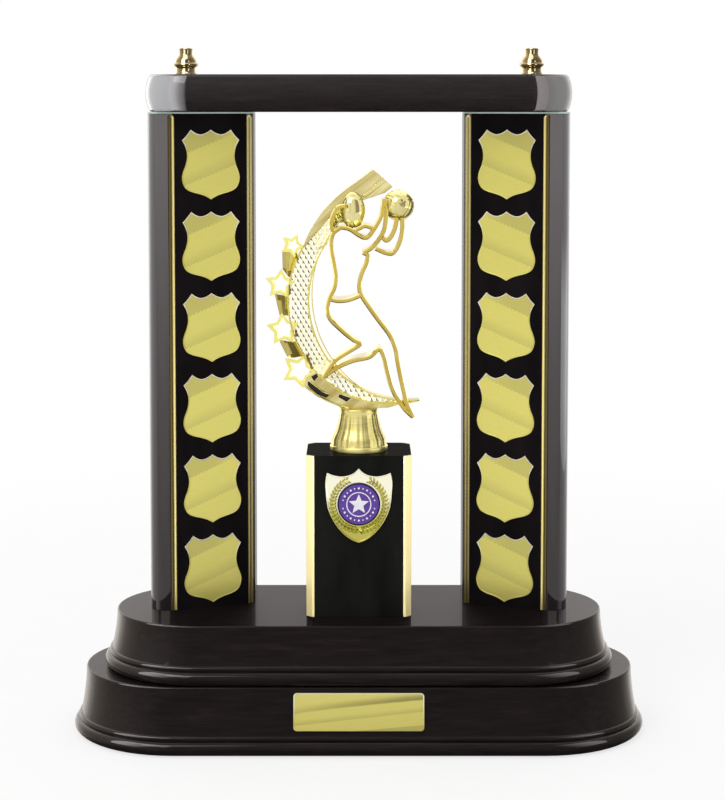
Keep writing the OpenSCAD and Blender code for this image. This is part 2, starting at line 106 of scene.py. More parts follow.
def pick(parts, chosen, by=None):
    """Enter edit mode with only the chosen vertices or faces selected."""
    edit_mesh("DESELECT", by)
    leave_edit()
    for part in parts:
        part.select = chosen(part)
    bpy.ops.object.mode_set(mode="EDIT")


def extrude(push):
    bpy.ops.mesh.extrude_region_move(TRANSFORM_OT_translate={"value": push})


def spin(steps, degrees, centre, axis=(0, 0, 1)):
    bpy.ops.mesh.spin(steps=steps, angle=math.radians(degrees), center=centre, axis=axis)


def trace(name, points):
    line = add_mesh(name, bpy.ops.mesh.primitive_plane_add, size=mm)
    edit_mesh(by="VERT")
    bpy.ops.mesh.merge(type="CENTER")
    bpy.ops.transform.translate(value=points[0])
    for here, there in zip(points, points[1:]):
        bpy.ops.mesh.extrude_vertices_move(TRANSFORM_OT_translate={"value": there - here})
    leave_edit()
    return line


def clean(piece, fill=False):
    """Merge double points, close the holes if asked, and turn the faces outwards."""
    select_only(piece)
    edit_mesh()
    bpy.ops.mesh.remove_doubles(threshold=0.002 * mm)
    if fill:
        bpy.ops.mesh.fill_holes(sides=0)
        bpy.ops.mesh.select_all(action="SELECT")
    bpy.ops.mesh.normals_make_consistent(inside=False)
    leave_edit()
    return piece


def plate(name, outline, push):
    piece = trace(name, outline)
    edit_mesh()
    bpy.ops.mesh.edge_face_add()
    extrude(push)
    leave_edit()
    return clean(piece)


# %% [markdown]
# A real edge is never perfectly sharp, and the thin bright line that it catches makes a piece look
# solid. A Bevel modifier rounds every edge sharper than its angle limit, and applying it makes the
# rounding part of the mesh. Smooth shading by angle alone would let the small rounding bend the
# light on the large face beside it, so a Weighted Normal modifier gives the large faces the say.

# %% Round the edges, smooth the curves
def smooth(piece, angle=32):
    select_only(piece)
    if piece.data.has_custom_normals:
        bpy.ops.mesh.customdata_custom_splitnormals_clear()
    bpy.ops.object.shade_smooth_by_angle(angle=math.radians(angle))
    weigh = piece.modifiers.new("weighted", "WEIGHTED_NORMAL")
    weigh.keep_sharp = True
    bpy.ops.object.modifier_apply(modifier=weigh.name)
    return piece


def round_edges(piece, width, segments=2, angle=30):
    select_only(piece)
    bevel = piece.modifiers.new("rounding", "BEVEL")
    bevel.width = width
    bevel.segments = segments
    bevel.limit_method = "ANGLE"
    bevel.angle_limit = math.radians(angle)
    bpy.ops.object.modifier_apply(modifier=bevel.name)
    return smooth(piece)


def arc(centre, radius, start, end, steps):
    turns = [math.radians(start + (end - start) * i / steps) for i in range(steps + 1)]
    return [(centre[0] + radius * math.cos(a), centre[1] + radius * math.sin(a)) for a in turns]


def settle(piece, place):
    """Move a piece by a matrix and make the move part of its mesh."""
    select_only(piece)
    piece.matrix_world = place @ piece.matrix_world
    bpy.ops.object.transform_apply(location=True, rotation=True, scale=True)
    return piece


def copy_of(piece, name, place):
    select_only(piece)
    bpy.ops.object.duplicate()
    bpy.context.object.name = name
    return settle(bpy.context.object, place)


def merge_pieces(name, pieces):
    select_only(*pieces)
    bpy.ops.object.join()
    bpy.context.object.name = name
    return bpy.context.object


def give_finish(piece, finish):
    piece.data.materials.clear()
    piece.data.materials.append(finish)


def dress(piece, finish, slot, *nodes, body="trophy"):
    """Give a piece its finish, parent it to the body that it rides on, and hide the frame parts it
    replaces.
    """
    give_finish(piece, finish)
    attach(piece, body)
    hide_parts(*nodes)
    faces = len(piece.data.polygons)
    print(piece.name, faces, "faces", [round(side / mm, 1) for side in piece.dimensions])


# %% [markdown]
# # Finishes
# Every finish is a small graph of nodes round a Principled shader. Noise that is stretched along
# one axis gives grain or brushing, and a ramp turns it into two or three close colours. `feed`
# links a socket to another node's output or sets it to a plain value, and the other helpers each
# add one node and return its output, so that each recipe stays short.

# %% Node helpers
def feed(socket, value):
    if isinstance(value, bpy.types.NodeSocket):
        socket.id_data.links.new(value, socket)
    elif socket.type == "RGBA":
        socket.default_value = (*value, 1)
    else:
        socket.default_value = value


def node(tree, kind, **values):
    made = tree.nodes.new("ShaderNode" + kind)
    for name, value in values.items():
        if hasattr(made, name):
            setattr(made, name, value)
        else:
            feed(made.inputs[name.replace("_", " ")], value)
    return made


def tree_of(*values):
    return next(value.id_data for value in values if isinstance(value, bpy.types.NodeSocket))


def object_pattern(tree, scale=(1.0, 1.0, 1.0), turn=0.0):
    """The piece's own coordinates, turned about Y and then scaled."""
    own = node(tree, "TexCoord").outputs["Object"]
    turned = node(tree, "Mapping", Vector=own, Rotation=(0, math.radians(turn), 0))
    return node(tree, "Mapping", Vector=turned.outputs["Vector"], Scale=scale).outputs["Vector"]


def noise(vector, scale, detail=4.0, roughness=0.55):
    return node(tree_of(vector), "TexNoise", Vector=vector, Scale=scale, Detail=detail,
                Roughness=roughness).outputs["Fac"]


def ramp(value, stops):
    made = node(tree_of(value), "ValToRGB", Fac=value)
    row = made.color_ramp.elements
    while len(row) < len(stops):
        row.new(0.5)
    for element, (position, colour) in zip(row, stops):
        element.position = position
        element.color = (*colour, 1)
    return made.outputs["Color"]


def fade_between(value, low, high, at_low, at_high):
    return node(tree_of(value), "MapRange", Value=value, From_Min=low, From_Max=high,
                To_Min=at_low, To_Max=at_high).outputs["Result"]


def new_finish(name, metallic, roughness, **sockets):
    finish = bpy.data.materials.new(name)
    finish.use_nodes = True
    shader = finish.node_tree.nodes["Principled BSDF"]
    for socket, value in dict(sockets, Metallic=metallic, Roughness=roughness).items():
        feed(shader.inputs[socket.replace("_", " ")], value)
    return finish, finish.node_tree


def bump(finish, height, distance, *sockets):
    made = node(finish.node_tree, "Bump", Height=height, Distance=distance, Strength=1.0)
    for socket in sockets:
        feed(finish.node_tree.nodes["Principled BSDF"].inputs[socket], made.outputs["Normal"])


def complete(finish, colour, unevenness, low, high):
    """Link the base colour and let the roughness follow an uneven value from low to high."""
    shader = finish.node_tree.nodes["Principled BSDF"]
    feed(shader.inputs["Base Color"], colour)
    feed(shader.inputs["Roughness"], fade_between(unevenness, 0.0, 1.0, low, high))
    return finish


# %% [markdown]
# ## Lacquered rosewood
# The timber is a very dark red-brown under a thick gloss lacquer, so we see the room in it first
# and the grain only faintly. The wood itself is rough and the Coat on top is smooth, which is how
# the real finish is built up. Noise squeezed across the grain draws the streaks. They run along
# the plinth and the beam, and up the columns, so the same recipe is made for both directions.

# %% Rosewood along X and along Z
def rosewood(name, grain, coat):
    finish, tree = new_finish(name, 0.0, 0.5, Coat_Weight=coat, Coat_Roughness=0.03,
                              Specular_IOR_Level=0.1)
    across = [9.0, 9.0, 9.0]
    across[grain] = 0.9
    streaks = noise(object_pattern(tree, across), 42.0, 8.0, 0.7)
    colour = ramp(streaks, [(0.34, (0.0052, 0.0032, 0.0032)), (0.55, (0.0100, 0.0062, 0.0064)),
                            (0.78, (0.022, 0.0115, 0.0098))])
    bump(finish, noise(object_pattern(tree), 18.0, 2.0), 0.03 * mm, "Normal", "Coat Normal")
    return complete(finish, colour, streaks, 0.4, 0.6)


rosewood_tiers = rosewood("rosewood along the plinth", 0, 0.75)
rosewood_beam = rosewood("rosewood along the beam", 0, 1.0)
rosewood_columns = rosewood("rosewood up the columns", 2, 1.0)
print("three cuts of rosewood")


# %% [markdown]
# ## Black laminate and black acrylic
# The column panels are a satin laminate, nearly without shine, and the pedestal is a black acrylic
# block. Both still need a little unevenness, or they read as holes in the render. A soft cloud of
# noise between two close colours gives it, and every plain finish after this one uses the same
# cloud.

# %% Clouded finishes and blacks
def clouded(name, light, deep, roughness, scale, metallic=0.0, stretch=(1.0, 1.0, 1.0), turn=0.0,
            detail=6.0, stops=(0.35, 0.65), spread=(0.85, 1.15), depth=0.0, **sockets):
    finish, tree = new_finish(name, metallic, roughness, **sockets)
    cloud = noise(object_pattern(tree, stretch, turn), scale, detail)
    if depth:
        bump(finish, cloud, depth, "Normal")
    colour = ramp(cloud, [(stops[0], deep), (stops[1], light)])
    return complete(finish, colour, cloud, roughness * spread[0], min(roughness * spread[1], 1.0))


def black(name, colour, roughness, shine, ior=1.5):
    deep, light = (tuple(part * factor for part in colour) for factor in (0.7, 1.45))
    return clouded(name, light, deep, roughness, 60.0, stretch=(1.0, 1.0, 0.35), detail=5.0,
                   stops=(0.3, 0.75), spread=(0.8, 1.2), Specular_IOR_Level=shine, IOR=ior)


black_laminate = black("black satin laminate", (0.0075, 0.0055, 0.0065), 0.42, 0.05)
black_acrylic = black("black acrylic", (0.0104, 0.0104, 0.0092), 0.16, 0.02, 1.09)
badge_enamel = black("black badge enamel", (0.006, 0.004, 0.008), 0.2, 0.4)
print("three blacks")


# %% [markdown]
# ## Golds
# Gold is a metal, so nearly all of its colour comes from what it mirrors. The plated figure is
# bright and smooth, and its parts differ only a little in colour and polish, apart from a pale gold
# painted as highlight and a darker tail gold and dark amber plates painted as shade. The riser is
# brushed, the pedestal's strips are pale foil and the finials are polished brass.

# %% Plated, brushed and polished gold
def gold(name, light, deep, roughness, metallic=1.0, scale=70.0, **cloud):
    return clouded(name, light, deep, roughness, scale, metallic, detail=5.0, spread=(0.8, 1.25),
                   **cloud)


plated_gold = gold("plated gold", (0.78, 0.68, 0.20), (0.68, 0.58, 0.15), 0.16)
wire_gold = gold("plated gold of the player", (0.66, 0.50, 0.115), (0.54, 0.40, 0.08), 0.2)
# pale gold painted as highlight on the player's edges and on the keel's lip and sole
pale_highlight_gold = gold("pale gold painted as highlight", (0.84, 0.77, 0.33), (0.76, 0.68, 0.24), 0.12)
# the darker gold of the tails' left bars is painted shade
shaded_tail_gold = gold("satin gold of the tails, darkened as painted shade", (0.56, 0.46, 0.15), (0.46, 0.38, 0.12), 0.3,
                 stretch=(6.0, 6.0, 1.0))
brushed_gold = gold("brushed gold", (0.80, 0.71, 0.28), (0.66, 0.57, 0.20), 0.33,
                    stretch=(1.0, 1.0, 12.0))
edge_gold = gold("gold edge strip", (0.95, 0.82, 0.42), (0.90, 0.76, 0.36), 0.3, 0.6,
                 stretch=(8.0, 8.0, 0.4))
brass = gold("polished brass", (0.74, 0.63, 0.38), (0.66, 0.54, 0.30), 0.09)
star_gold = gold("pale plated gold of the stars", (0.94, 0.88, 0.30), (0.88, 0.80, 0.22), 0.2)
bright_gold = gold("mirror-bright plated gold", (0.80, 0.73, 0.35), (0.66, 0.58, 0.24), 0.08, 0.7,
                   90.0)
satin_plated = gold("satin plated gold", (0.82, 0.74, 0.36), (0.48, 0.39, 0.13), 0.24,
                    scale=20.0, stretch=(1.0, 1.0, 9.0), turn=40.0)
lattice_gold = gold("cut gold of the lattice", (0.99, 0.97, 0.82), (0.96, 0.93, 0.70), 0.16)
# dark amber plates painted as shade in the star recesses and gaps
painted_shade_gold = gold("dark amber painted as shade in the recesses", (0.30, 0.20, 0.035), (0.16, 0.10, 0.018), 0.3)
print("twelve golds")


# %% [markdown]
# The engraving plates are thin gold sheet, brushed in a slant. The sheen on the brushing is painted
# into the colour: a darker olive wedge at the upper left and one faint slanting line lower down,
# both with a toothed edge. The rim of each plate has a painted highlight that grows paler towards
# its top. The pattern has to repeat on every shield, so it reads the piece's own UV map and not its
# place. The two columns mirror each other, and so do their maps.

# %% Arithmetic and colour mixing between sockets
def maths(operation, *values):
    made = node(tree_of(*values), "Math", operation=operation)
    for socket, value in zip(made.inputs, values):
        feed(socket, value)
    return made.outputs["Value"]


def times(first, second):
    return maths("MULTIPLY", first, second)


def minus(first, second):
    return maths("SUBTRACT", first, second)


def step_up(value, low, high):
    """0 at low and 1 at high, with a soft turn at both ends."""
    return node(tree_of(value), "MapRange", Value=value, From_Min=low, From_Max=high,
                interpolation_type="SMOOTHSTEP").outputs["Result"]


def mix_colours(amount, first, second, blend="MIX"):
    made = node(tree_of(amount, first, second), "Mix", data_type="RGBA", blend_type=blend,
                Factor=amount, A=first, B=second)
    return [out for out in made.outputs if out.type == "RGBA"][0]


def axes(vector):
    split = node(tree_of(vector), "SeparateXYZ", Vector=vector)
    return [split.outputs[axis] for axis in "XYZ"]


# %% Sheet gold with a brushed grain and a raised rim
def sheet_gold(name, roughness, brushing, slant, light, deep):
    """A sheet's finish, its UV axes, its brushing and the colour that the brushing gives."""
    finish, tree = new_finish(name, 0.45, roughness)
    flat = node(tree, "UVMap", uv_map="face").outputs["UV"]
    across, up, _ = axes(flat)
    brushed = node(tree, "Mapping", Vector=flat, Scale=brushing, Rotation=(0, 0, slant))
    grain = noise(brushed.outputs["Vector"], 2.0, 6.0)
    return finish, flat, across, up, grain, ramp(grain, [(0.3, deep), (0.7, light)])


def painted_rim_highlight(colour, up, low, high, pale):
    """Painted highlight: pale colour on the faces marked "rim", growing towards the top of the
    plate.
    """
    rim = node(tree_of(up), "Attribute", attribute_name="rim").outputs["Fac"]
    return mix_colours(times(rim, step_up(up, low, high)), colour, pale)


def engraving_gold():
    sheen_olive = (0.335, 0.30, 0.08)
    slope, tooth, teeth_count = 0.33, 0.026, 30.0
    sheen_wedge, sheen_streak = 0.62, 0.17
    finish, _, across, up, grain, colour = sheet_gold(
        "satin gold of the shields", 0.34, (3.0, 60.0, 1.0), -0.35,
        (0.60, 0.545, 0.13), (0.545, 0.49, 0.112))
    # painted sheen: the olive wedge and the faint slanting line, each with a toothed edge, stand
    # for the reflection in the brushing
    teeth = maths("PINGPONG", times(across, teeth_count), 1.0)
    edge = minus(minus(up, times(across, slope)), times(teeth, tooth))
    painted_sheen = times(step_up(edge, sheen_wedge, sheen_wedge + 0.012), step_up(across, 1.05, 0.45))
    line = times(step_up(edge, sheen_streak, sheen_streak + 0.01), step_up(edge, sheen_streak + 0.22, sheen_streak))
    colour = mix_colours(times(painted_sheen, 0.55), colour, sheen_olive)
    colour = mix_colours(times(line, 0.4), colour, sheen_olive)
    # painted highlight on the rim, paler towards the top of the plate
    colour = painted_rim_highlight(colour, up, 0.66, 0.80, (0.70, 0.66, 0.52))
    return complete(finish, colour, grain, 0.28, 0.42)


shield_gold = engraving_gold()
print("engraving gold for the shields")


# %% Rolled gold for the trims
def rolled_gold(name, shadow):
    """Foil with painted shade: darker towards the foot of the column, and if asked darker along its
    outer bead beside a painted highlight.
    """
    finish, tree = new_finish(name, 0.75, 0.34)
    flat = node(tree, "UVMap", uv_map="face").outputs["UV"]
    across, up, _ = axes(flat)
    stretched = node(tree, "Mapping", Vector=flat, Scale=(6.0, 0.8, 1.0))
    cloud = noise(stretched.outputs["Vector"], 9.0, 5.0)
    colour = ramp(cloud, [(0.35, (0.44, 0.385, 0.16)), (0.65, (0.54, 0.475, 0.205))])
    # painted shade: a ramp, multiplied in, that darkens the foil towards the foot of the column
    high = ramp(up, [(0.0, (0.34, 0.30, 0.26)), (0.45, (0.74, 0.70, 0.62)),
                     (0.95, (1.0, 1.0, 1.0))])
    colour = mix_colours(0.2 if shadow else 1.0, colour, high, "MULTIPLY")
    # with shadow, a painted highlight lies on one bead and a painted shadow along the outer bead
    if shadow:
        colour = mix_colours(step_up(across, 0.55, 0.75), colour, (0.86, 0.72, 0.26))
        colour = mix_colours(step_up(across, 0.60, 0.40), colour, (0.10, 0.075, 0.02))
    return complete(finish, colour, cloud, 0.26, 0.42)


trim_inner = rolled_gold("rolled gold of the inner trims", False)
trim_outer = rolled_gold("rolled gold of the outer trims", True)
print("two rolled golds")

# %% [markdown]
# ## Small finishes
# The pads under the beam are pale green foam, the fasteners are plain plated steel, and a green
# felt protects the shelf. The badge has a printed purple field with white on it.

# %% Pads, steel, felt and print
pad_green = clouded("pale green pad", (0.60, 0.72, 0.66), (0.48, 0.62, 0.55), 0.35, 120.0)
steel = clouded("plated steel", (0.56, 0.57, 0.58), (0.44, 0.45, 0.46), 0.3, 90.0, 1.0)
felt = clouded("green felt", (0.02, 0.075, 0.035), (0.008, 0.04, 0.018), 0.95, 900.0,
               depth=0.3 * mm)
badge_purple = clouded("purple badge print", (0.125, 0.055, 0.36), (0.105, 0.042, 0.31), 0.4, 300.0)
badge_white = clouded("white badge print", (0.86, 0.85, 0.88), (0.76, 0.74, 0.80), 0.4, 300.0)
# painted shade: a dark plate behind each opening of the keel
cell_painted_shade = clouded("painted shade in the keel cells", (0.022, 0.012, 0.008), (0.012, 0.006, 0.004), 0.4, 200.0, 0.3)
print("six small finishes")

# %% [markdown]
# # The plinth
# Each tier is a bar with half-round ends, turned on a router so that the same moulding runs all the
# way round: a main bead at the foot, a small bead above it, and a side that leans in to a softened
# top edge. In Blender the moulding is one traced line. Spinning it half a turn makes the first end,
# extruding it makes the back, a second half turn makes the other end, and a last extrusion closes
# the front. The flat top and the underside are filled at the end.

# %% A round-ended bar from one profile
def round_ended_bar(name, profile, length, depth, steps=28):
    run = length - depth
    bar = trace(name, [Vector((run / 2, -out, up)) for out, up in profile])
    edit_mesh()
    for side in (1, -1):
        spin(steps, -180, (side * run / 2, 0, 0))
        extrude((-side * run, 0, 0))
    leave_edit()
    return smooth(clean(bar, fill=True), 38)


bead_r = 4.2 * mm
small_bead_r = 1.9 * mm
side_flare = 3.2 * mm
felt_margin = 6 * mm


def tier_profile(half, low, top, recess=0.0):
    foot = half + side_flare
    small_up = low + 2 * bead_r + 0.6 * small_bead_r
    small_centre = (foot - 0.2 * small_bead_r, small_up)
    under = [(foot - felt_margin, low + recess), (foot - felt_margin, low)] if recess else []
    line = under + arc((foot, low + bead_r), bead_r, -90, 75, 14)
    line += arc(small_centre, small_bead_r, -40, 62, 8)
    side_foot = line[-1][1] + 0.3 * mm
    edge = 1.1 * mm
    for i in range(9):
        rise = i / 8
        line.append((half + side_flare * (1 - rise) ** 1.7,
                     side_foot + (top - edge - side_foot) * rise))
    return line + arc((half - edge, top - edge), edge, 10, 90, 5)


def tier(name, node_name, recess=0.0):
    low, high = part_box(node_name)
    spread = side_flare + bead_r
    length, depth = high.x - low.x - 2 * spread, high.y - low.y - 2 * spread
    profile = tier_profile(depth / 2, low.z, high.z, recess)
    dress(round_ended_bar(name, profile, length, depth), rosewood_tiers, "rosewood", node_name)
    return length, depth


# %% Lower and upper tier
felt_recess = 1 * mm
lower_len, lower_depth = tier("lower_tier", "lower_plinth", felt_recess)
tier("upper_tier", "upper_plinth")
print("lower tier", round(lower_len / mm, 1), "x", round(lower_depth / mm, 1), "mm")

# %% [markdown]
# # The beam
# The beam is the same kind of bar, but its edge is one shallow bulge with softened corners, so the
# lights slide round its ends in a curve. Its size comes straight from the frame.

# %% Beam
beam_low, beam_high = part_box("beam")
beam_depth = beam_high.y - beam_low.y
beam_len = beam_high.x - beam_low.x
beam_bulge = 2.5 * mm
half_h = (beam_high.z - beam_low.z) / 2
edge_r = (beam_bulge ** 2 + half_h ** 2) / (2 * beam_bulge)
swing = math.degrees(math.asin((half_h - 1.2 * mm) / edge_r))
middle = (beam_depth / 2 - edge_r, beam_low.z + half_h)
corner = 1.6 * mm
inside = beam_depth / 2 - beam_bulge - 1.4 * mm
profile = arc((inside, beam_low.z + corner), corner, -90, -20, 6)
profile += arc(middle, edge_r, -swing, swing, 16)
profile += arc((inside, beam_high.z - corner), corner, 20, 90, 6)
beam = round_ended_bar("beam_timber", profile, beam_len, beam_depth, 36)
dress(beam, rosewood_beam, "rosewood", "beam")

# %% [markdown]
# # The columns
# In plan a column is a rounded D. Its flat face turns a little towards the middle, a tight nose
# rounds its outer front corner, and a wide cheek runs to the flat back. A shallow recess in the
# face takes the black panel and its two trims. The plan is traced for the right-hand column, pushed
# up to its height, and mirrored for the left. A mirrored mesh is inside out, so its normals are
# recalculated.

# %% Plan of a column
toe_in = math.radians(21.3)
column_low, column_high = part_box("right_column")
panel_t = 2.5 * mm
panel_w = 44.3 * mm
trim_w = 3.7 * mm
face_lip = 0.8 * mm
slot_w = panel_w + 2 * trim_w + 0.2 * mm
face_len = slot_w + 2 * face_lip
along = Vector((math.cos(toe_in), -math.sin(toe_in)))
inward = Vector((math.sin(toe_in), math.cos(toe_in)))
corner_a = Vector((column_low.x, 6.4 * mm))
corner_b = corner_a + face_len * along
face_mid = (corner_a + corner_b) / 2
nose_r = (column_high.x - corner_b.x) / (1 + math.sin(toe_in))
nose_c = corner_b + nose_r * inward
cheek_r = column_high.y - nose_c.y
cheek_c = (column_high.x - cheek_r, nose_c.y)

plan = [corner_a, corner_a + face_lip * along, corner_a + face_lip * along + panel_t * inward,
        corner_b - face_lip * along + panel_t * inward, corner_b - face_lip * along]
nose = [Vector(p) for p in arc(nose_c, nose_r, math.degrees(-toe_in) - 90, 0, 20)]
cheek = [Vector(p) for p in arc(cheek_c, cheek_r, 0, 90, 20)]
plan += nose + cheek[1:] + [Vector((corner_a.x, column_high.y))]
print("column plan with", len(plan), "corners; nose radius", round(nose_r / mm, 2), "mm")

# %% Both columns
column_h = column_high.z - column_low.z
mirror_x = Matrix.Scale(-1, 4, (1, 0, 0))
outline = [Vector((p.x, p.y, column_low.z)) for p in plan]
right_column = plate("right_column_timber", outline, (0, 0, column_h))
round_edges(right_column, 0.25 * mm, 2, 40)
left_column = copy_of(right_column, "left_column_timber", mirror_x)
smooth(clean(left_column))
dress(right_column, rosewood_columns, "rosewood", "right_column")
dress(left_column, rosewood_columns, "rosewood", "left_column")

# %% [markdown]
# # Trims
# A trim is a narrow gold strip with two round beads and a valley between them, and the beads meet
# in a round turn at the top. So the section of one bead is traced, pushed up the strip, spun half
# a turn about the strip's centre line, and pushed down again. It is drawn flat at the origin,
# facing the front, and a matrix then sets it on the turned face of its column.

# %% Frame of a column's face
def face_place(side, x_on_face, z):
    """Matrix from a flat drawing that faces the front to a place on a column's face."""
    turn = Matrix.Rotation(-side * toe_in, 4, "Z")
    centre = Matrix.Translation((side * face_mid.x, face_mid.y, 0))
    return centre @ turn @ Matrix.Translation((x_on_face, 0, z))


def face_uv(piece, width, height, centre_z=0.0):
    """A flat UV map, 0 to 1 over the piece's front, for a pattern that belongs to the piece."""
    layer = piece.data.uv_layers.get("face") or piece.data.uv_layers.new(name="face")
    for loop in piece.data.loops:
        point = piece.data.vertices[loop.vertex_index].co
        layer.data[loop.index].uv = (point.x / width + 0.5, (point.z - centre_z) / height + 0.5)


# %% Four trims from one strip
gap_above_trim = 0.8 * mm


def trim_strip(name):
    bead = trim_w / 4
    height = column_h - gap_above_trim - trim_w / 2
    section = [(0, -0.25 * bead), (0.18 * bead, -0.3 * bead)]
    section += arc((bead, 0), bead, 200, 360, 10)
    section += [(2 * bead, panel_t)]
    strip = trace(name, [Vector((-x, y, 0)) for x, y in section])
    edit_mesh()
    extrude((0, 0, height))
    spin(12, -180, (0, 0, height), (0, 1, 0))
    extrude((0, 0, -height))
    leave_edit()
    return smooth(clean(strip, fill=True), 40)


strip = trim_strip("trim")
offset = (panel_w + trim_w) / 2
for side, hand in ((-1, "left"), (1, "right")):
    face_uv(strip, -side * trim_w, column_h, column_h / 2)
    for place, name, finish in ((-1, "inner", trim_inner), (1, "outer", trim_outer)):
        matrix = face_place(side, side * place * offset, column_low.z)
        trim = copy_of(strip, f"{hand}_{name}_trim_strip", matrix)
        dress(trim, finish, "plate_gold", f"{hand}_{name}_trim")
bpy.data.objects.remove(strip)

# %% [markdown]
# # Engraving shields
# All twelve shields are cut with the same punch: a spiked top edge, two ears, a waist and a round
# belly that ends in a point. The outline has sharp corners with curves between them, so each
# stretch from corner to corner is smoothed by itself. The plate then gets a thin raised rim, made
# by two insets and a small push back. The rim's faces are marked in an attribute, so that the
# finish can paint a highlight on its upper part. It is modelled once and copied to its twelve
# places.

# %% Smooth curve through points
def curve_through(points, steps):
    """Points on a smooth curve that passes through all the given ones."""
    line = []
    last = len(points) - 1
    for i in range(last):
        a, b, c, d = (points[max(i - 1, 0)], points[i], points[i + 1], points[min(i + 2, last)])
        for s in range(steps):
            t = s / steps
            line.append(0.5 * (2 * b + (c - a) * t + (2 * a - 5 * b + 4 * c - d) * t * t
                               + (3 * b - a - 3 * c + d) * t ** 3))
    return line + [points[last]]


def shield_outline(stretches, width, height, steps):
    """The right half, smoothed from corner to corner, and its mirror image."""
    half = []
    for stretch in stretches:
        points = [Vector((x * width, 0, y * height)) for x, y in stretch]
        half += curve_through(points, steps)[:-1]
    half.append(points[-1])
    return half + [Vector((-p.x, p.y, p.z)) for p in reversed(half[1:-1])]


def sink_face(piece, rim, slope, depth, even=True):
    """Inset the front face twice, push its middle back, and mark all the faces round it."""
    select_only(piece)
    faces = piece.data.polygons
    front = min(faces, key=lambda face: (round(face.center.y, 6), -face.area)).index
    pick(faces, lambda face: face.index == front, "FACE")
    for thickness in (rim, slope):
        bpy.ops.mesh.inset(thickness=thickness, use_even_offset=even)
    bpy.ops.transform.translate(value=(0, depth, 0))
    leave_edit()
    mark = piece.data.attributes.new("rim", "FLOAT", "FACE")
    for face in piece.data.polygons:
        mark.data[face.index].value = 0.0 if face.select else 1.0


# %% One shield, then twelve
shield_low, shield_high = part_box("right_shield_1")
shield_w = 35.4 * mm
shield_h = shield_high.z - shield_low.z
shield_t = 0.8 * mm
top_edge = [(0, 0), (0.16, -0.045), (0.37, -0.068), (0.56, -0.04), (0.69, 0)]
ear = [(0.69, 0), (0.84, -0.085), (0.99, -0.15)]
belly = [(0.99, -0.15), (0.87, -0.25), (0.82, -0.38), (0.87, -0.50), (0.96, -0.60), (1, -0.69),
         (0.96, -0.78), (0.85, -0.85), (0.65, -0.893), (0.42, -0.92), (0.24, -0.945),
         (0.11, -0.972), (0, -1)]
outline = shield_outline([top_edge, ear, belly], shield_w / 2, shield_h, 3)
shield = plate("shield", outline, (0, -shield_t, 0))
sink_face(shield, 0.42 * mm, 0.15 * mm, 0.14 * mm)
round_edges(shield, 0.08 * mm, 2, 40)
print("shield", round(shield_w / mm, 1), "x", round(shield_h / mm, 1), "mm")

for side, hand in ((-1, "left"), (1, "right")):
    face_uv(shield, -side * shield_w, shield_h, -shield_h / 2)
    for number in range(1, 7):
        top_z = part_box(f"{hand}_shield_{number}")[1].z
        twin = copy_of(shield, f"{hand}_plate_{number}", face_place(side, 0, top_z))
        dress(twin, shield_gold, "plate_gold", f"{hand}_shield_{number}")
bpy.data.objects.remove(shield)

# %% [markdown]
# # Finial nuts
# The two brass nuts on the beam were turned on a lathe: a foot, a waist, a round collar with a
# pointed edge, a cone and a knob. Spinning half of the profile a full turn is the same as turning
# it. They are the only moving parts, because each one screws down on its tie rod.

# %% Turn the finials
def lathe(name, profile, centre, steps=48):
    x, y = centre
    piece = trace(name, [Vector((x + out, y, up)) for out, up in profile])
    edit_mesh()
    spin(steps, 360, (x, y, 0))
    leave_edit()
    return smooth(clean(piece), 38)


waist = [(0.80, 0.1), (0.76, 0.16), (0.755, 0.22), (0.79, 0.27)]
cone = [(0.84, 0.49), (0.85, 0.52), (0.76, 0.61), (0.64, 0.69), (0.55, 0.75), (0.52, 0.79),
        (0.525, 0.86), (0.53, 0.92)]
for hand in ("left", "right"):
    low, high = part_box(hand + "_finial")
    r = (high.x - low.x) / 2
    h = high.z - low.z
    middle = ((low.x + high.x) / 2, (low.y + high.y) / 2)
    profile = [(0, 0), (0.87 * r, 0)] + arc((0.85 * r, 0.035 * h), 0.04 * r, -40, 60, 4)
    profile += [(out * r, up * h) for out, up in waist]
    profile += arc((0.86 * r, 0.38 * h), 0.14 * r, -70, 80, 8)
    profile += [(out * r, up * h) for out, up in cone]
    profile += arc((0.52 * r, 0.955 * h), 0.045 * r, -60, 90, 6)
    profile += [(0.49 * r, h), (0, h)]
    finial = lathe(hand + "_finial_turned", [(x, low.z + z) for x, z in profile], middle)
    dress(finial, brass, "brass", hand + "_finial", body=hand + "_finial_nut")

# %% [markdown]
# # The pedestal
# The pedestal is a block of black acrylic whose four upright corners are planed off, and a gold
# strip is glued on each flat. Block and strips are outlines pushed up to their height. The strips
# keep crisp edges, because a broad rounding would spread their light.

# %% Block and gold strips
block_low, block_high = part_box("pedestal_block")
block_x = (block_high.x - block_low.x) / 2
block_y = (block_high.y - block_low.y) / 2
pedestal_y = (block_low.y + block_high.y) / 2
pedestal_h = block_high.z - block_low.z
edge_c = 3.4 * mm
edge_t = 1.0 * mm
deep = edge_c + edge_t * math.sqrt(2)
quarter = [(block_x - deep, -block_y), (block_x, deep - block_y)]
ring = quarter + [(x, -y) for x, y in reversed(quarter)]
ring += [(-x, y) for x, y in reversed(ring)]
outline = [Vector((x, pedestal_y + y, block_low.z)) for x, y in ring]
block = plate("pedestal_body", outline, (0, 0, pedestal_h))
round_edges(block, 0.3 * mm)
dress(block, black_acrylic, "black_laminate", "pedestal_block")

corners = [(block_x - deep, block_y), (block_x - edge_c, block_y), (block_x, block_y - edge_c),
           (block_x, block_y - deep)]
for sx, sy, name in ((-1, -1, "front_left"), (1, -1, "front_right"),
                     (-1, 1, "back_left"), (1, 1, "back_right")):
    outline = [Vector((sx * x, pedestal_y + sy * y, block_low.z)) for x, y in corners]
    edging = plate("pedestal_strip_" + name, outline, (0, 0, pedestal_h))
    round_edges(edging, 0.12 * mm, 1)
    dress(edging, edge_gold, "gold_edge", "pedestal_edge_" + name)
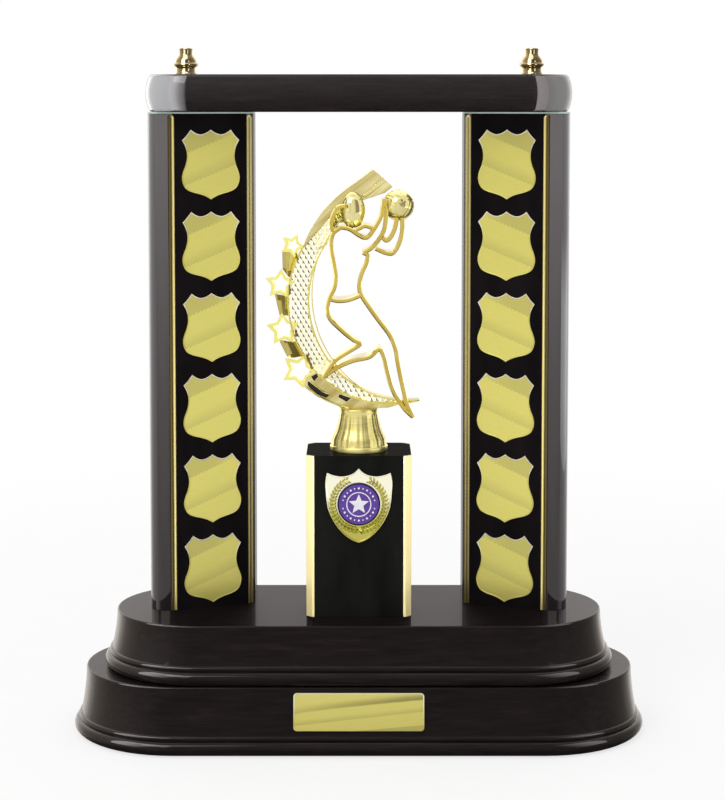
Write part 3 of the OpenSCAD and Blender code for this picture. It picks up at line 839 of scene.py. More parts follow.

# %% [markdown]
# # The badge
# The badge is a small cast shield. A raised rim follows its outline, a laurel wreath stands on its
# field, and a printed disc sits in the middle in a black ring. The wreath is one leaf copied along
# two arcs. The leaf is an icosphere drawn out to a point at both ends. The print is a plain white
# star in a ring of dots, with no words. The cast gold has light and shade painted by height, darker
# at the foot and near-white at the top, so it needs to know where the badge's middle is.

# %% Cast gold
def cast_gold(name, middle_z, low, high):
    """A gold with painted shade and highlight: it turns from greenish at the foot of the badge to
    near-white at its top.
    """
    reach = 20 * mm
    finish, tree = new_finish(name, 1.0, 0.16)
    own = node(tree, "TexCoord").outputs["Object"]
    height = step_up(axes(own)[2], middle_z - reach, middle_z + reach)
    cloud = noise(own, 140.0)
    patchy = maths("ADD", height, times(minus(cloud, 0.5), 0.5))
    return complete(finish, ramp(patchy, [(0.1, low), (0.7, high)]), cloud, 0.12, 0.2)


badge_low, badge_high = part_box("badge_shield")
disc_low, disc_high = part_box("badge_disc")
badge_z = (disc_low.z + disc_high.z) / 2
badge_gold = cast_gold("cast badge gold", badge_z, (0.50, 0.46, 0.10), (0.95, 0.93, 0.74))
leaf_gold = cast_gold("laurel gold", badge_z, (0.36, 0.34, 0.045), (0.50, 0.46, 0.09))
print("two cast golds")

# %% Badge shield with its rim
badge_face = badge_low.y
half_w = (badge_high.x - badge_low.x) / 2
half_h = (badge_high.z - badge_low.z) / 1.98  # the outline runs from 0.95 down to -1.03
crest = [(0, 0.95), (0.13, 0.84), (0.27, 0.775), (0.42, 0.745), (0.58, 0.74), (0.80, 0.78),
         (0.95, 0.84)]
flank = [(0.95, 0.84), (1, 0.60), (0.99, 0.35), (0.93, -0.11), (0.74, -0.49), (0.47, -0.79),
         (0.2, -0.965), (0, -1.03)]
outline = shield_outline([crest, flank], half_w, half_h, 2)
casting = plate("badge_casting", outline, (0, badge_face - badge_high.y, 0))
sunk = 0.5 * mm
sink_face(casting, 0.6 * mm, 0.25 * mm, sunk, even=False)
round_edges(casting, 0.14 * mm, 2, 35)
settle(casting, Matrix.Translation((0, badge_high.y, badge_z)))
dress(casting, badge_gold, "plated_gold", "badge_shield")
field_y = badge_face + sunk

# %% A laurel leaf, copied along the wreath
def leaf_shape(length, width, height):
    leaf = add_mesh("leaf", bpy.ops.mesh.primitive_ico_sphere_add, subdivisions=2, radius=1)
    pick(leaf.data.vertices, lambda vertex: abs(vertex.co.x) > 0.5)
    bpy.ops.transform.resize(value=(1.1, 0.45, 0.45), center_override=(0, 0, 0))
    bpy.ops.mesh.select_all(action="SELECT")
    bpy.ops.transform.resize(
        value=(length / 2.2, height, width / 2), center_override=(0, 0, 0))
    leave_edit()
    return smooth(leaf, 50)


leaf = leaf_shape(3.6 * mm, 1.6 * mm, 0.8 * mm)
wreath_r = 15.4 * mm
pair_out = 1.15 * mm
first_turn, turn_step, pairs = -82, 8.2, 19
leaves = []
for side in (-1, 1):
    for step in range(pairs):
        turn = math.radians(first_turn + step * turn_step)
        for splay, out in ((-38, pair_out), (38, -pair_out)):
            reach = wreath_r + out
            place = Matrix.Translation((side * reach * math.cos(turn), field_y,
                                        badge_z + reach * math.sin(turn)))
            lean = turn + math.pi / 2 + math.radians(splay)
            lay = Matrix.Rotation(-lean if side > 0 else lean - math.pi, 4, "Y")
            leaves.append(copy_of(leaf, f"leaf_{len(leaves)}", place @ lay))
bpy.data.objects.remove(leaf)
wreath = merge_pieces("badge_wreath", leaves)
dress(wreath, leaf_gold, "plated_gold")

# %% Stem of the wreath and its ribbon
def wire(name, points, radius, sides):
    """A round bar along a line: trace it, turn it into a curve, give it depth, and mesh it."""
    bar = trace(name, points)
    bpy.ops.object.convert(target="CURVE")
    bar.data.bevel_depth = radius
    bar.data.bevel_resolution = sides
    bar.data.use_fill_caps = True
    bpy.ops.object.convert(target="MESH")
    return smooth(clean(bar), 45)


def flat_bar(name, line, section):
    """A bar with its own section along a flat line: a 2D curve with a bevel object, then a mesh."""
    shape = clean(trace("section", [Vector((x, y, 0)) for x, y in section + section[:1]]))
    bar = trace(name, [Vector((x, z, 0)) for x, z in line])
    for curve in (shape, bar):
        select_only(curve)
        bpy.ops.object.convert(target="CURVE")
        curve.data.dimensions = "2D"
        curve.data.fill_mode = "NONE"
    bar.data.bevel_mode = "OBJECT"
    bar.data.bevel_object = shape
    bar.data.use_fill_caps = True
    bpy.ops.object.convert(target="MESH")
    bpy.data.objects.remove(shape)
    return settle(clean(bar), Matrix.Rotation(math.radians(90), 4, "X"))


knot = [("tail", 0.45, [(0, -15.6), (0.9, -16.8), (1.9, -17.6)]),
        ("loop", 0.35, [(0, -15.6), (1.2, -14.5), (2.4, -14.9), (1.4, -15.7), (0, -15.6)])]
ribbons = []
for side in (-1, 1):
    stem = [Vector((side * x, field_y, badge_z + z))
            for x, z in arc((0, 0), wreath_r, -96, 62, 30)]
    ribbons.append(wire("stem", stem, 0.3 * mm, 1))
    for name, radius, line in knot:
        points = [Vector((side * x * mm, field_y - 0.2 * mm, badge_z + z * mm)) for x, z in line]
        ribbons.append(wire(name, points, radius * mm, 1))
ribbon = merge_pieces("badge_ribbon", ribbons)
dress(ribbon, leaf_gold, "plated_gold")

# %% [markdown]
# The ring and the disc are turned shapes that face the front. They are spun about an upright axis
# at the origin and then tipped forward, which is easier than spinning about a level axis.

# %% Ring, printed disc, star and dots
tip_forward = Matrix.Rotation(math.radians(90), 4, "X")
rim_low, rim_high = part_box("badge_rim")
rim_r = (rim_high.x - rim_low.x) / 2
disc_r = (disc_high.x - disc_low.x) / 2
rim_rise = badge_face - rim_low.y
disc_rise = badge_face - disc_low.y
on_badge = Matrix.Translation((0, badge_face, badge_z)) @ tip_forward
profile = [(disc_r - 0.1 * mm, 0), (disc_r - 0.1 * mm, 0.6 * rim_rise)]
profile += arc((rim_r - 0.35 * mm, 0.65 * rim_rise), 0.35 * mm, 150, 0, 8) + [(rim_r, 0)]
ring = lathe("badge_ring", profile, (0, 0), 64)
dress(settle(ring, on_badge), badge_enamel, "badge_black", "badge_rim")
profile = [(0, 0), (disc_r, 0), (disc_r, 0.8 * disc_rise), (disc_r - 0.3 * mm, disc_rise),
           (0, disc_rise)]
disc = lathe("badge_print", profile, (0, 0), 64)
dress(settle(disc, on_badge), badge_purple, "badge_print", "badge_disc")

print_t = 0.08 * mm
print_y = badge_face - disc_rise


def star_ring(radius, waist, turn=0.0):
    """The ten corners of a five-pointed star, measured from its middle."""
    ring = []
    for i in range(10):
        reach = radius if i % 2 == 0 else radius * waist
        angle = math.radians(36 * i + turn)
        ring.append((reach * math.sin(angle), reach * math.cos(angle)))
    return ring


def printed(name, outline, x=0.0, z=0.0):
    corners = [Vector((x + a, print_y, badge_z + z + b)) for a, b in outline]
    return plate(name, corners, (0, -print_t, 0))


profile = [(6.7 * mm, 0), (6.7 * mm, print_t), (7.3 * mm, print_t), (7.3 * mm, 0)]
circle = lathe("circle", profile, (0, 0), 64)
settle(circle, Matrix.Translation((0, print_y, badge_z)) @ tip_forward)
whites = [circle, printed("star", star_ring(6.1 * mm, 0.45))]
dots_r = 9.5 * mm
for i in range(24):
    if i not in (6, 18):
        angle = math.radians(15 * i)
        size = 0.62 * mm if i % 2 == 0 else 0.42 * mm
        whites.append(printed("dot", arc((0, 0), size, 0, 330, 11),
                              dots_r * math.sin(angle), dots_r * math.cos(angle)))
star_print = merge_pieces("badge_star", whites)
dress(star_print, badge_white, "badge_print")

# %% [markdown]
# # The nameplate
# The nameplate is the same thin gold sheet with rounded corners, glued on the leaning front of the
# lower tier. It is drawn upright at the origin and then tilted and moved by one matrix. Its lean
# is the lean of the moulding behind it. Its sheen is painted into the colour: a curved dark band
# with a bright field below, a faint line and a small dark wedge, and a paler top and rim as
# painted highlight.

# %% Nameplate
def nameplate_gold():
    sheen_olive, pale = (0.25, 0.22, 0.055), (0.545, 0.50, 0.19)
    finish, flat, across, up, grain, colour = sheet_gold(
        "satin gold of the nameplate", 0.3, (4.0, 40.0, 1.0), -0.2,
        (0.60, 0.53, 0.135), (0.545, 0.48, 0.115))
    # painted sheen: a curved olive band, a faint slanting line and a small wedge, and a paler upper
    # part as painted highlight
    bow = times(maths("POWER", across, 0.75), 0.40)
    over = maths("ADD", minus(minus(up, 0.43), bow), times(noise(flat, 14.0, 2.0), 0.03))
    band = times(step_up(over, -0.01, 0.03), step_up(over, 0.24, 0.04))
    band = times(band, fade_between(across, 0.05, 0.85, 0.35, 1.0))
    low = minus(up, times(across, 0.38))
    line = times(step_up(low, 0.13, 0.145), step_up(low, 0.3, 0.13))
    sheen_wedge = step_up(minus(times(across, 0.3), up), 0.13, 0.15)
    colour = mix_colours(step_up(over, 0.16, 0.9), colour, pale)
    for amount in (band, times(line, 0.35), times(sheen_wedge, 0.45)):
        colour = mix_colours(amount, colour, sheen_olive)
    # painted highlight on the rim, paler towards the top
    colour = painted_rim_highlight(colour, up, 0.15, 0.85, (0.74, 0.70, 0.44))
    return complete(finish, colour, grain, 0.25, 0.38)


name_low, name_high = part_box("nameplate")
plate_w = name_high.x - name_low.x
plate_t = 0.8 * mm
plate_h = 21.6 * mm
side_h = 27.55 * mm  # over this height the moulding leans in by side_flare
lean = math.atan(side_flare / side_h)
corner = 2 * mm
quarter = [(plate_w / 2 - corner + x, plate_h / 2 - corner + z)
           for x, z in arc((0, 0), corner, 0, 90, 6)]
ring = quarter + [(-x, z) for x, z in reversed(quarter)]
ring += [(x, -z) for x, z in reversed(ring)]
name_piece = plate("nameplate_sheet", [Vector((x, 0, z)) for x, z in ring], (0, -plate_t, 0))
sink_face(name_piece, 0.45 * mm, 0.25 * mm, 0.14 * mm)
round_edges(name_piece, 0.1 * mm, 2, 40)
face_uv(name_piece, plate_w, plate_h)
middle_z = (name_low.z + name_high.z) / 2
back_y = (name_low.y + name_high.y) / 2 + plate_t / 2
settle(name_piece, Matrix.Translation((0, back_y, middle_z)) @ Matrix.Rotation(-lean, 4, "X"))
dress(name_piece, nameplate_gold(), "plate_gold", "nameplate")

# %% [markdown]
# # The riser
# A fluted, bell-shaped riser carries the figure. The bell is turned like the finials, and then two
# of every four columns of points are drawn in towards the axis, which cuts the flutes and leaves
# the foot ring and the collar round.

# %% Turned riser with flutes
riser_low, riser_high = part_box("figure_riser")
riser_h = riser_high.z - riser_low.z
riser_top = riser_high.z
foot_r = (riser_high.x - riser_low.x) / 2
top_r = 11.65 * mm
bell = [(0, 0), (0.98, 0), (1, 0.01), (1, 0.09), (0.985, 0.115), (0.965, 0.125), (0.955, 0.16),
        (0.95, 0.22), (0.93, 0.29), (0.885, 0.36), (0.835, 0.43), (0.79, 0.5), (0.755, 0.58),
        (0.725, 0.66), (0.70, 0.74), (0.685, 0.82), (0.675, 0.88)]
collar = [(0.985, 0.895), (1, 0.91), (1, 0.985), (0.98, 1), (0, 1)]
profile = [(radius * out, riser_low.z + riser_h * up)
           for radius, part in ((foot_r, bell), (top_r, collar)) for out, up in part]
riser_steps = 96
riser = lathe("riser_bell", profile, (0.0, pedestal_y), riser_steps)


def in_flute(vertex):
    up = (vertex.co.z - riser_low.z) / riser_h
    turn = math.atan2(vertex.co.y - pedestal_y, vertex.co.x) / (2 * math.pi) * riser_steps
    return 0.14 < up < 0.87 and round(turn) % 4 in (0, 1)


pick(riser.data.vertices, in_flute, "VERT")
bpy.ops.transform.resize(value=(0.98, 0.98, 1), center_override=(0, pedestal_y, 0))
leave_edit()
smooth(riser, 40)
dress(riser, brushed_gold, "plated_gold", "figure_riser")

# %% [markdown]
# # The figure: a crescent
# The figure is one plated moulding, drawn almost flat. It is easiest to work out on its drawing
# plane, with X and Z measured from the middle of the riser's top, so `at` turns a drawn point into
# a place. The crescent's back plate lies between two circles that cross at the lower tip. Two thin
# rims follow its edges, a finer strip runs beside the inner one, and a lattice of small pyramids
# fills the band between them.

# %% Drawing plane of the figure
crescent_low, crescent_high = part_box("figure_crescent")
crescent_t = crescent_high.y - crescent_low.y
front_y = crescent_low.y
tall = 1.012 * mm  # the height of one drawn mm, which is stretched a little


def at(x, z, y=0.0):
    return Vector((x * mm, front_y + y * mm, riser_top + z * tall))


def drawn_from(place):
    return place.x / mm, (place.z - riser_top) / tall


def drawn(points, y=0.0, steps=0):
    line = [Vector(p) for p in points]
    line = curve_through(line, steps) if steps else line
    return [at(p.x, p.y, y) for p in line]


outer_c, outer_r = (18.8, 63.0), 60.9
inner_c, inner_r = (29.4, 63.4), 58.4
slope_a, slope_b = Vector((-20.6, 94.0)), Vector((-4.0, 117.0))
outer_edge = arc(outer_c, outer_r, -73.5, -210.6, 64)
inner_edge = arc(inner_c, inner_r, -84.0, -211.6, 60)
plate_edge = [(-31.0, 95.4), (-28.4, 98.9), (-25.0, 102.8), (-20.8, 107.3), (-16.4, 112.9),
              (-13.2, 118.4), (-8, 121)]
upper_inner = [(-4, 117), (-9.5, 111), (-14, 105.5), (-17.6, 100)]
depth_back = crescent_t - 1.0 * mm
back = drawn(outer_edge + plate_edge + upper_inner + inner_edge[::-1], 1.0)
crescent_back = plate("crescent_back", back, (0, depth_back, 0))
round_edges(crescent_back, 0.15 * mm, 1, 40)
dress(crescent_back, plated_gold, "plated_gold", "figure_crescent")

# %% Rims along both edges and the fine strip
def strip_between(name, first, second, y, depth):
    piece = plate(name, drawn(first + second[::-1], y), (0, depth * mm, 0))
    return round_edges(piece, 0.2 * mm, 2, 40)


rim_w = 0.85
outer_in = arc(outer_c, outer_r - rim_w, -73.5, -209.5, 64)
inner_out = arc(inner_c, inner_r + rim_w, -84.0, -211.6, 60)
rim_top = [(-17.6 - rim_w, 100), (-14 - rim_w, 105.6), (-9.5 - rim_w, 111.2), (-5, 116.6)]
rims = [strip_between("rim", outer_edge, outer_in, 0.0, 2.0),
        strip_between("rim", inner_edge + upper_inner[::-1], inner_out + rim_top, 0.0, 2.0)]
dress(merge_pieces("crescent_rims", rims), plated_gold, "plated_gold")

lip_c, lip_r, lip_w = (38.0, 66.5), 65.2, 0.65
lip_inner = arc(lip_c, lip_r, -121.5, -198.0, 40)
lip_outer = arc(lip_c, lip_r + lip_w, -121.0, -198.6, 40)
crescent_lip = strip_between("crescent_lip", lip_inner, lip_outer, 0.6, 1.6)
dress(crescent_lip, plated_gold, "plated_gold")

# %% [markdown]
# The lattice starts as a plain grid. Every other row is pushed half a step sideways, and splitting
# the squares along their shorter diagonal then leaves a field of equal triangles. Points that fall
# just outside the band are pulled back onto its edge, the triangles beyond it are deleted, and
# Poke Faces raises the middle of each one, so that every facet mirrors another part of the room.

# %% Lattice of small pyramids
def inside_band(x, z):
    """How far a drawn point lies inside the outer edge and inside the inner edge."""
    out = outer_r - rim_w * 0.5 - math.hypot(x - outer_c[0], z - outer_c[1])
    if z < slope_a.y:
        return out, math.hypot(x - inner_c[0], z - inner_c[1]) - inner_r - rim_w * 0.5
    run = (slope_b - slope_a).normalized()
    away = Vector((x, z)) - slope_a
    return out, run.x * away.y - run.y * away.x - rim_w * 0.5


def pushed(x, z, centre, amount):
    """A drawn point moved straight away from a centre, or towards it by a negative amount."""
    reach = Vector((x - centre[0], z - centre[1]))
    reach = reach.normalized() * (reach.length + amount)
    return centre[0] + reach.x, centre[1] + reach.y


def pull_inside(x, z):
    out, into = inside_band(x, z)
    if out < 0:
        x, z = pushed(x, z, outer_c, out)
    if into < 0 and z < slope_a.y:
        x, z = pushed(x, z, inner_c, -into)
    return x, z


def beyond_band(face):
    x, z = drawn_from(face.center)
    return min(inside_band(x, z)) < 0 or z > grid_top


pitch = 3.1
row_h = pitch * math.sqrt(3) / 2
columns, rows = 28, 44
grid_left, grid_foot, grid_top = -44, 4, 120
lattice_y = 0.85
lattice = add_mesh("crescent_lattice", bpy.ops.mesh.primitive_grid_add, size=1,
                   x_subdivisions=columns, y_subdivisions=rows)
for vertex in lattice.data.vertices:
    column = round((vertex.co.x + 0.5) * columns)
    row = round((vertex.co.y + 0.5) * rows)
    x = grid_left + pitch * (column + 0.5 * (row % 2))
    vertex.co = at(x, grid_foot + row_h * row, lattice_y)
edit_mesh()
bpy.ops.mesh.quads_convert_to_tris(quad_method="SHORTEST_DIAGONAL")
leave_edit()
pick(lattice.data.polygons, beyond_band, "FACE")
bpy.ops.mesh.delete(type="FACE")
leave_edit()
for vertex in lattice.data.vertices:
    x, z = pull_inside(*drawn_from(vertex.co))
    vertex.co = at(x, z, lattice_y)
edit_mesh()
extrude((0, -0.15 * mm, 0))
bpy.ops.mesh.poke(offset=0.36 * mm)
leave_edit()
dress(lattice, lattice_gold, "plated_gold")
print("lattice with", len(lattice.data.polygons), "facets")

# %% [markdown]
# ## The smooth plate at the top
# Above the lattice the crescent widens into a smooth folded plate with an apex. Its three planes
# meet at two fold lines. Each plane is its own thin slab with rounded edges, set a little in front
# of or behind the next one, so that the folds catch the light.

# %% Folded plate
spine = [(-33.0, 94.0), (-31.4, 98.2), (-29.2, 102.8), (-26.6, 107.4), (-23.4, 112.2),
         (-20.0, 116.6), (-15.0, 121.8), (-8.8, 127.2), (0.7, 134.0), (6.2, 138.3)]
curved_spine = [(p.x, p.y) for p in curve_through([Vector(p) for p in spine], 3)]
curved_spine += [(7.2, 139.1), (8.1, 139.3), (9.0, 139.0)]
valley = [(1.9, 124.5)]
fold_one = [(13.3, 135.6), (7.4, 127.8)] + valley
fold_two = [(16.1, 133.0), (8.6, 127.0), (3.7, 123.4)]
main = curved_spine + fold_one + [(-1, 121), (-8, 121)] + plate_edge[-2::-1]
flap = fold_two + valley + [(-2, 121.5), (3, 121.8), (15.4, 126), (19.8, 129.5)]
slab_t = 3.0 * mm
slabs = []
for outline, y in ((main, -0.1), (fold_one + fold_two[::-1], -0.7), (flap, 0.3)):
    slab = plate("slab", drawn(outline, y), (0, slab_t, 0))
    slabs.append(round_edges(slab, 0.3 * mm, 3, 40))
behind = curved_spine + [(19.6, 129.5), (15.2, 126), (3, 121.8), (-8, 118)] + plate_edge[-3::-1]
slabs.append(plate("behind", drawn(behind, 2.6), (0, crescent_t - 2.6 * mm, 0)))
dress(merge_pieces("crescent_top_plate", slabs), satin_plated, "plated_gold")

# %% [markdown]
# ## The keel
# A lower band, set back from the crescent's face, carries the figure's foot on the riser. Three
# openings are cut into it, each with a dark plate of painted shade behind it, and a lip in pale
# gold, a painted highlight, runs over the longest one.

# %% Keel with its openings
keel_c, keel_r = (4.3, 53.5), 54.9
keel_top = arc(outer_c, outer_r - 1.5, -78.0, -140.5, 30)
keel_low = [(x, max(z, 0.0)) for x, z in arc(keel_c, keel_r, -64.5, -134.0, 30)]
keel = plate("crescent_keel", drawn(keel_low + keel_top[::-1], 2.4),
             (0, crescent_t - 2.5 * mm, 0))
cells = [[(-28.1, 18.5), (-24.9, 20.3), (-24.1, 18.5), (-26.3, 15.8)],
         [(-30.2, 15.6), (-28.1, 15.3), (-24.9, 12.0), (-21.6, 9.4), (-17.4, 7.5), (-19.3, 6.0),
          (-24.2, 8.1), (-28.1, 11.2), (-30.2, 13.6)],
         [(-11.5, 8.1), (-4.7, 5.9), (-7.2, 3.7), (-12.0, 6.5)]]


def cut_away(piece, cutter):
    select_only(piece)
    cut = piece.modifiers.new("cut", "BOOLEAN")
    cut.operation = "DIFFERENCE"
    cut.object = cutter
    cut.solver = "EXACT"
    bpy.ops.object.modifier_apply(modifier=cut.name)
    bpy.data.objects.remove(cutter)


def small_plates(name, outlines, y, depth, finish):
    """One piece from several thin plates that lie at the same depth."""
    plates = [plate(name, drawn(outline, y), (0, depth * mm, 0)) for outline in outlines]
    dress(merge_pieces(name, plates), finish, "plated_gold")


for cell in cells:
    cut_away(keel, plate("cutter", drawn(cell, 1.4), (0, 3.0 * mm, 0)))
round_edges(keel, 0.15 * mm, 2, 40)
dress(keel, satin_plated, "plated_gold")
# painted shade behind the keel's openings
small_plates("keel_pockets", cells, 4.1, 0.3, cell_painted_shade)
lip = [(-28.6, 15.4), (-25.4, 13.0), (-22.0, 10.3), (-19.0, 8.7), (-15.5, 7.9)]
lips = [wire("lip", drawn(lip, 2.3, 4), 0.45 * mm, 2),
        wire("sole", drawn(arc(keel_c, keel_r - 0.7, -101, -131, 18), 2.3), 0.7 * mm, 2)]
# the lip and the sole are painted pale as highlight
dress(merge_pieces("keel_lips", lips), pale_highlight_gold, "plated_gold")

# %% [markdown]
# ## Stars and tails
# Four hollow stars run down the crescent's outer edge, and each trails a pair of slanted bars to
# the next one. The star's opening is a second star cut right through it. The cutter is pushed back
# at a slant, as the mould is, so the left inner walls show from the front. The two bars of a tail
# share their middle edge, and the outer side of each lies deeper than that edge. The left bars get
# a darker gold as painted shade. Small dark amber plates are painted shade for the recesses at the
# ends of the bars and for the gaps where the stars meet the crescent.

# %% Hollow stars
stars_low, stars_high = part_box("figure_stars")
star_y = (stars_low.y - front_y) / mm
star_t = (stars_high.y - stars_low.y) / mm
star_waist = 0.56
opening_in = 1.65 / 0.515  # a wall of 1.65 mm, measured along the star's points
star_data = [((-39.0, 95.3), 7.3, 24), ((-46.3, 72.8), 9.1, 5),
             ((-44.6, 46.5), 10.0, -4), ((-35.3, 22.3), 10.8, 23)]


def star_points(centre, radius, turn):
    return [(centre[0] + x, centre[1] + z) for x, z in star_ring(radius, star_waist, turn)]


stars = []
for centre, radius, turn in star_data:
    star = plate("star", drawn(star_points(centre, radius, turn), star_y), (0, star_t * mm, 0))
    hole = drawn(star_points(centre, radius - opening_in, turn), star_y - 0.5)
    slant = (1.3 * mm, (star_t + 1) * mm, 0.2 * mm)
    cut_away(star, plate("cutter", hole, slant))
    stars.append(round_edges(star, 0.3 * mm, 2, 25))
dress(merge_pieces("figure_star_row", stars), star_gold, "plated_gold", "figure_stars")

# %% Twin bars between the stars
tails = [
    [(-45.1, 92.5), (-40.7, 91.5), (-36.0, 88.4), (-39.2, 75.4), (-41.8, 77.5), (-44.9, 81.5)],
    [(-49.6, 66.9), (-45.9, 66.5), (-40.8, 66.0), (-40.0, 54.0), (-44.9, 54.5), (-46.8, 54.5)],
    [(-47.3, 40.0), (-42.6, 39.4), (-37.0, 39.0), (-32.6, 30.4), (-38.4, 29.6), (-42.4, 30.2)]]


def slanted_bars(name, corners, left_y, right_y, finish):
    bars = []
    for tail in tails:
        depths = (left_y, right_y, right_y, left_y)
        quad = [at(*tail[corner], depth) for corner, depth in zip(corners, depths)]
        bars.append(round_edges(plate("bar", quad, (0, 2.2 * mm, 0)), 0.2 * mm))
    dress(merge_pieces(name, bars), finish, "plated_gold")


# the left bars take a darker gold as painted shade; the right bars are plain plated gold
slanted_bars("figure_star_tails_left", (0, 1, 4, 5), 3.4, 1.7, shaded_tail_gold)
slanted_bars("figure_star_tails_right", (1, 2, 3, 4), 1.7, 3.2, plated_gold)

# %% Painted shade in the recesses at the bars' ends and in the gaps behind the stars
recesses = [[(-41.7, 80.5), (-39.3, 80.6), (-39.9, 76.4), (-41.8, 77.4)],
            [(-48.3, 66.4), (-46.0, 66.2), (-45.8, 63.4), (-47.7, 63.4)],
            [(-43.6, 58.0), (-40.9, 58.2), (-40.6, 54.4), (-42.0, 54.8)],
            [(-40.4, 31.6), (-38.8, 32.2), (-37.9, 30.0), (-39.9, 29.7)],
            [(-44.4, 39.8), (-42.8, 39.6), (-42.2, 38.2), (-43.8, 38.6)]]
gaps = [[(-37.4, 91.0), (-36.4, 91.2), (-35.3, 87.0), (-36.2, 86.4)],
        [(-41.2, 72.4), (-40.3, 72.6), (-40.0, 67.2), (-40.9, 66.6)],
        [(-37.9, 46.2), (-36.9, 46.6), (-36.2, 42.4), (-37.2, 42.2)],
        [(-31.2, 31.4), (-30.2, 32.2), (-26.9, 23.6), (-28.0, 23.0)]]
# painted shade: dark plates in the recesses at the bars' ends and in the gaps where the stars meet
# the crescent
small_plates("figure_star_glints", recesses, 1.55, 0.8, painted_shade_gold)
small_plates("figure_star_gaps", gaps, -0.12, 0.6, painted_shade_gold)

# %% [markdown]
# ## The player
# The player is drawn with one continuous bar for the back and the rear leg, and shorter bars for
# the chest, the arms and the front leg. The bars are flat ribbons with planed edges. Each starts
# as a traced line through a few points, becomes a 2D curve that carries the ribbon's section
# along, and turns back into a mesh. A narrower satin ribbon lies on each pale one, a little to
# the right, so a pale edge runs along the left of every bar; the pale gold is a painted highlight
# on top of what the planed edges reflect. Where bars meet, each lies a hair behind the one before
# it, because two faces in one plane would flicker. The head is a plain egg with no face.

# %% Player's bars
player_low, player_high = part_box("figure_player")
bar_w, bar_t = 2.5, (player_high.y - player_low.y) / mm
face_w, face_rise, planed = 1.7, 0.3, 0.45
behind_last = 0.03 * mm


def bar_section(width, low, high, cut):
    half = width / 2
    return [(-half, low), (half, low), (half, high - cut), (half - cut, high),
            (cut - half, high), (-half, high - cut)]


player_lines = [
    [(-10.3, 106.6), (-15.1, 102.8), (-16.2, 95.1), (-14.8, 86.4), (-13.5, 77.7),
     (-14.5, 71.2), (-17.1, 65.7), (-18.4, 59.2), (-16.8, 53.7), (-10.3, 47.2),
     (-3.7, 41.8), (0.3, 39.6), (-0.4, 38), (-6.9, 34.1), (-14.6, 28.7), (-20.6, 19.5)],
    [(-10.3, 106.6), (-5.3, 105.5), (-0.4, 102.3), (3.3, 100.6), (6.1, 101.8),
     (10.5, 108.2), (13.2, 113.7), (14, 119), (14.4, 123)],
    [(-1.6, 105.2), (0.7, 106.2), (3.3, 107.4), (6.7, 106.6), (8.8, 104.9)],
    [(-17.9, 65.5), (-12.4, 64.1), (-5.9, 64.7), (1.2, 67.4)],
    [(2.3, 91.9), (5, 90.6), (4.5, 86.4), (1.7, 79.9), (0.3, 73.4), (1.2, 67.9),
     (6.1, 60.3), (11.6, 52.7), (18.1, 44), (21.3, 36.4), (22.4, 29.9), (24.1, 21.1),
     (26.3, 11.3), (27.9, 4.8), (31.7, -3.4)],
    [(2.3, 91.9), (7.2, 94.6), (11.6, 99.5), (14.6, 105), (15.7, 112), (15.6, 118), (14.8, 123)],
    [(9.7, 94.4), (15.3, 91.9), (19.7, 91.7), (23, 96.3), (25.2, 103.9), (25.3, 112)],
    [(13.9, 100.6), (15.9, 99), (18.3, 100.6), (20.8, 105.5), (22.2, 112)],
    [(-20.6, 19.5), (-13.5, 24.9), (-3.7, 29.2), (6.1, 31.5), (11.6, 36), (14.3, 32),
     (16.4, 23.3), (19.7, 12.4), (25.7, 2.5), (31.7, -3.4)],
    [(-14.6, 103.4), (-16.2, 107.4), (-15.5, 112.4), (-12.4, 117.9), (-8, 119)]]


def player_bars(name, section, right=0.0, down=0.0):
    bars = []
    for i, points in enumerate(player_lines):
        line = [(p.x * mm, p.y * tall) for p in curve_through([Vector(p) for p in points], 5)]
        place = Matrix.Translation((right * mm, player_high.y + i * behind_last,
                                    riser_top - down * mm))
        bar = flat_bar("bar", line, [(x * mm, y * mm) for x, y in section])
        bars.append(settle(bar, place))
    return smooth(merge_pieces(name, bars), 30)


# the outline's pale gold is a painted highlight along the left of every bar
edges = player_bars("figure_player_outline", bar_section(bar_w, 0, bar_t - face_rise, planed))
dress(edges, pale_highlight_gold, "plated_gold", "figure_player")
face_section = bar_section(face_w, bar_t / 2, bar_t, 0.25)
faces = player_bars("player_bar_faces", face_section, 0.22, 0.12)
dress(faces, wire_gold, "plated_gold")

# %% Egg-shaped head
head_x, head_z, head_w, head_h = -3.4, 116.2, 7.4, 10.4
egg = [(0, -1), (0.2, -0.98), (0.42, -0.91), (0.66, -0.77), (0.86, -0.55), (0.97, -0.28),
       (1, 0), (0.95, 0.28), (0.82, 0.54), (0.6, 0.77), (0.36, 0.93), (0.15, 1.01), (0, 1.03)]
egg = curve_through([Vector(p) for p in egg], 3)
profile = [(p.x * head_w * mm, p.y * head_h * mm) for p in egg]
profile[0], profile[-1] = (0, profile[0][1]), (0, profile[-1][1])
head = lathe("player_head", profile, (0, 0), 40)
edit_mesh()
bpy.ops.transform.resize(value=(1, 0.75, 1), center_override=(0, 0, 0))
leave_edit()
settle(head, Matrix.Translation(at(head_x, head_z, -head_w * 0.35)))
dress(head, bright_gold, "plated_gold")

# %% [markdown]
# ## The ball
# The ball is a cube that was subdivided and then pulled onto a sphere, because its grid lines then
# run like the panels of a netball. The points on every eighth line are drawn in a little, and the
# smooth shading makes grooves of them.

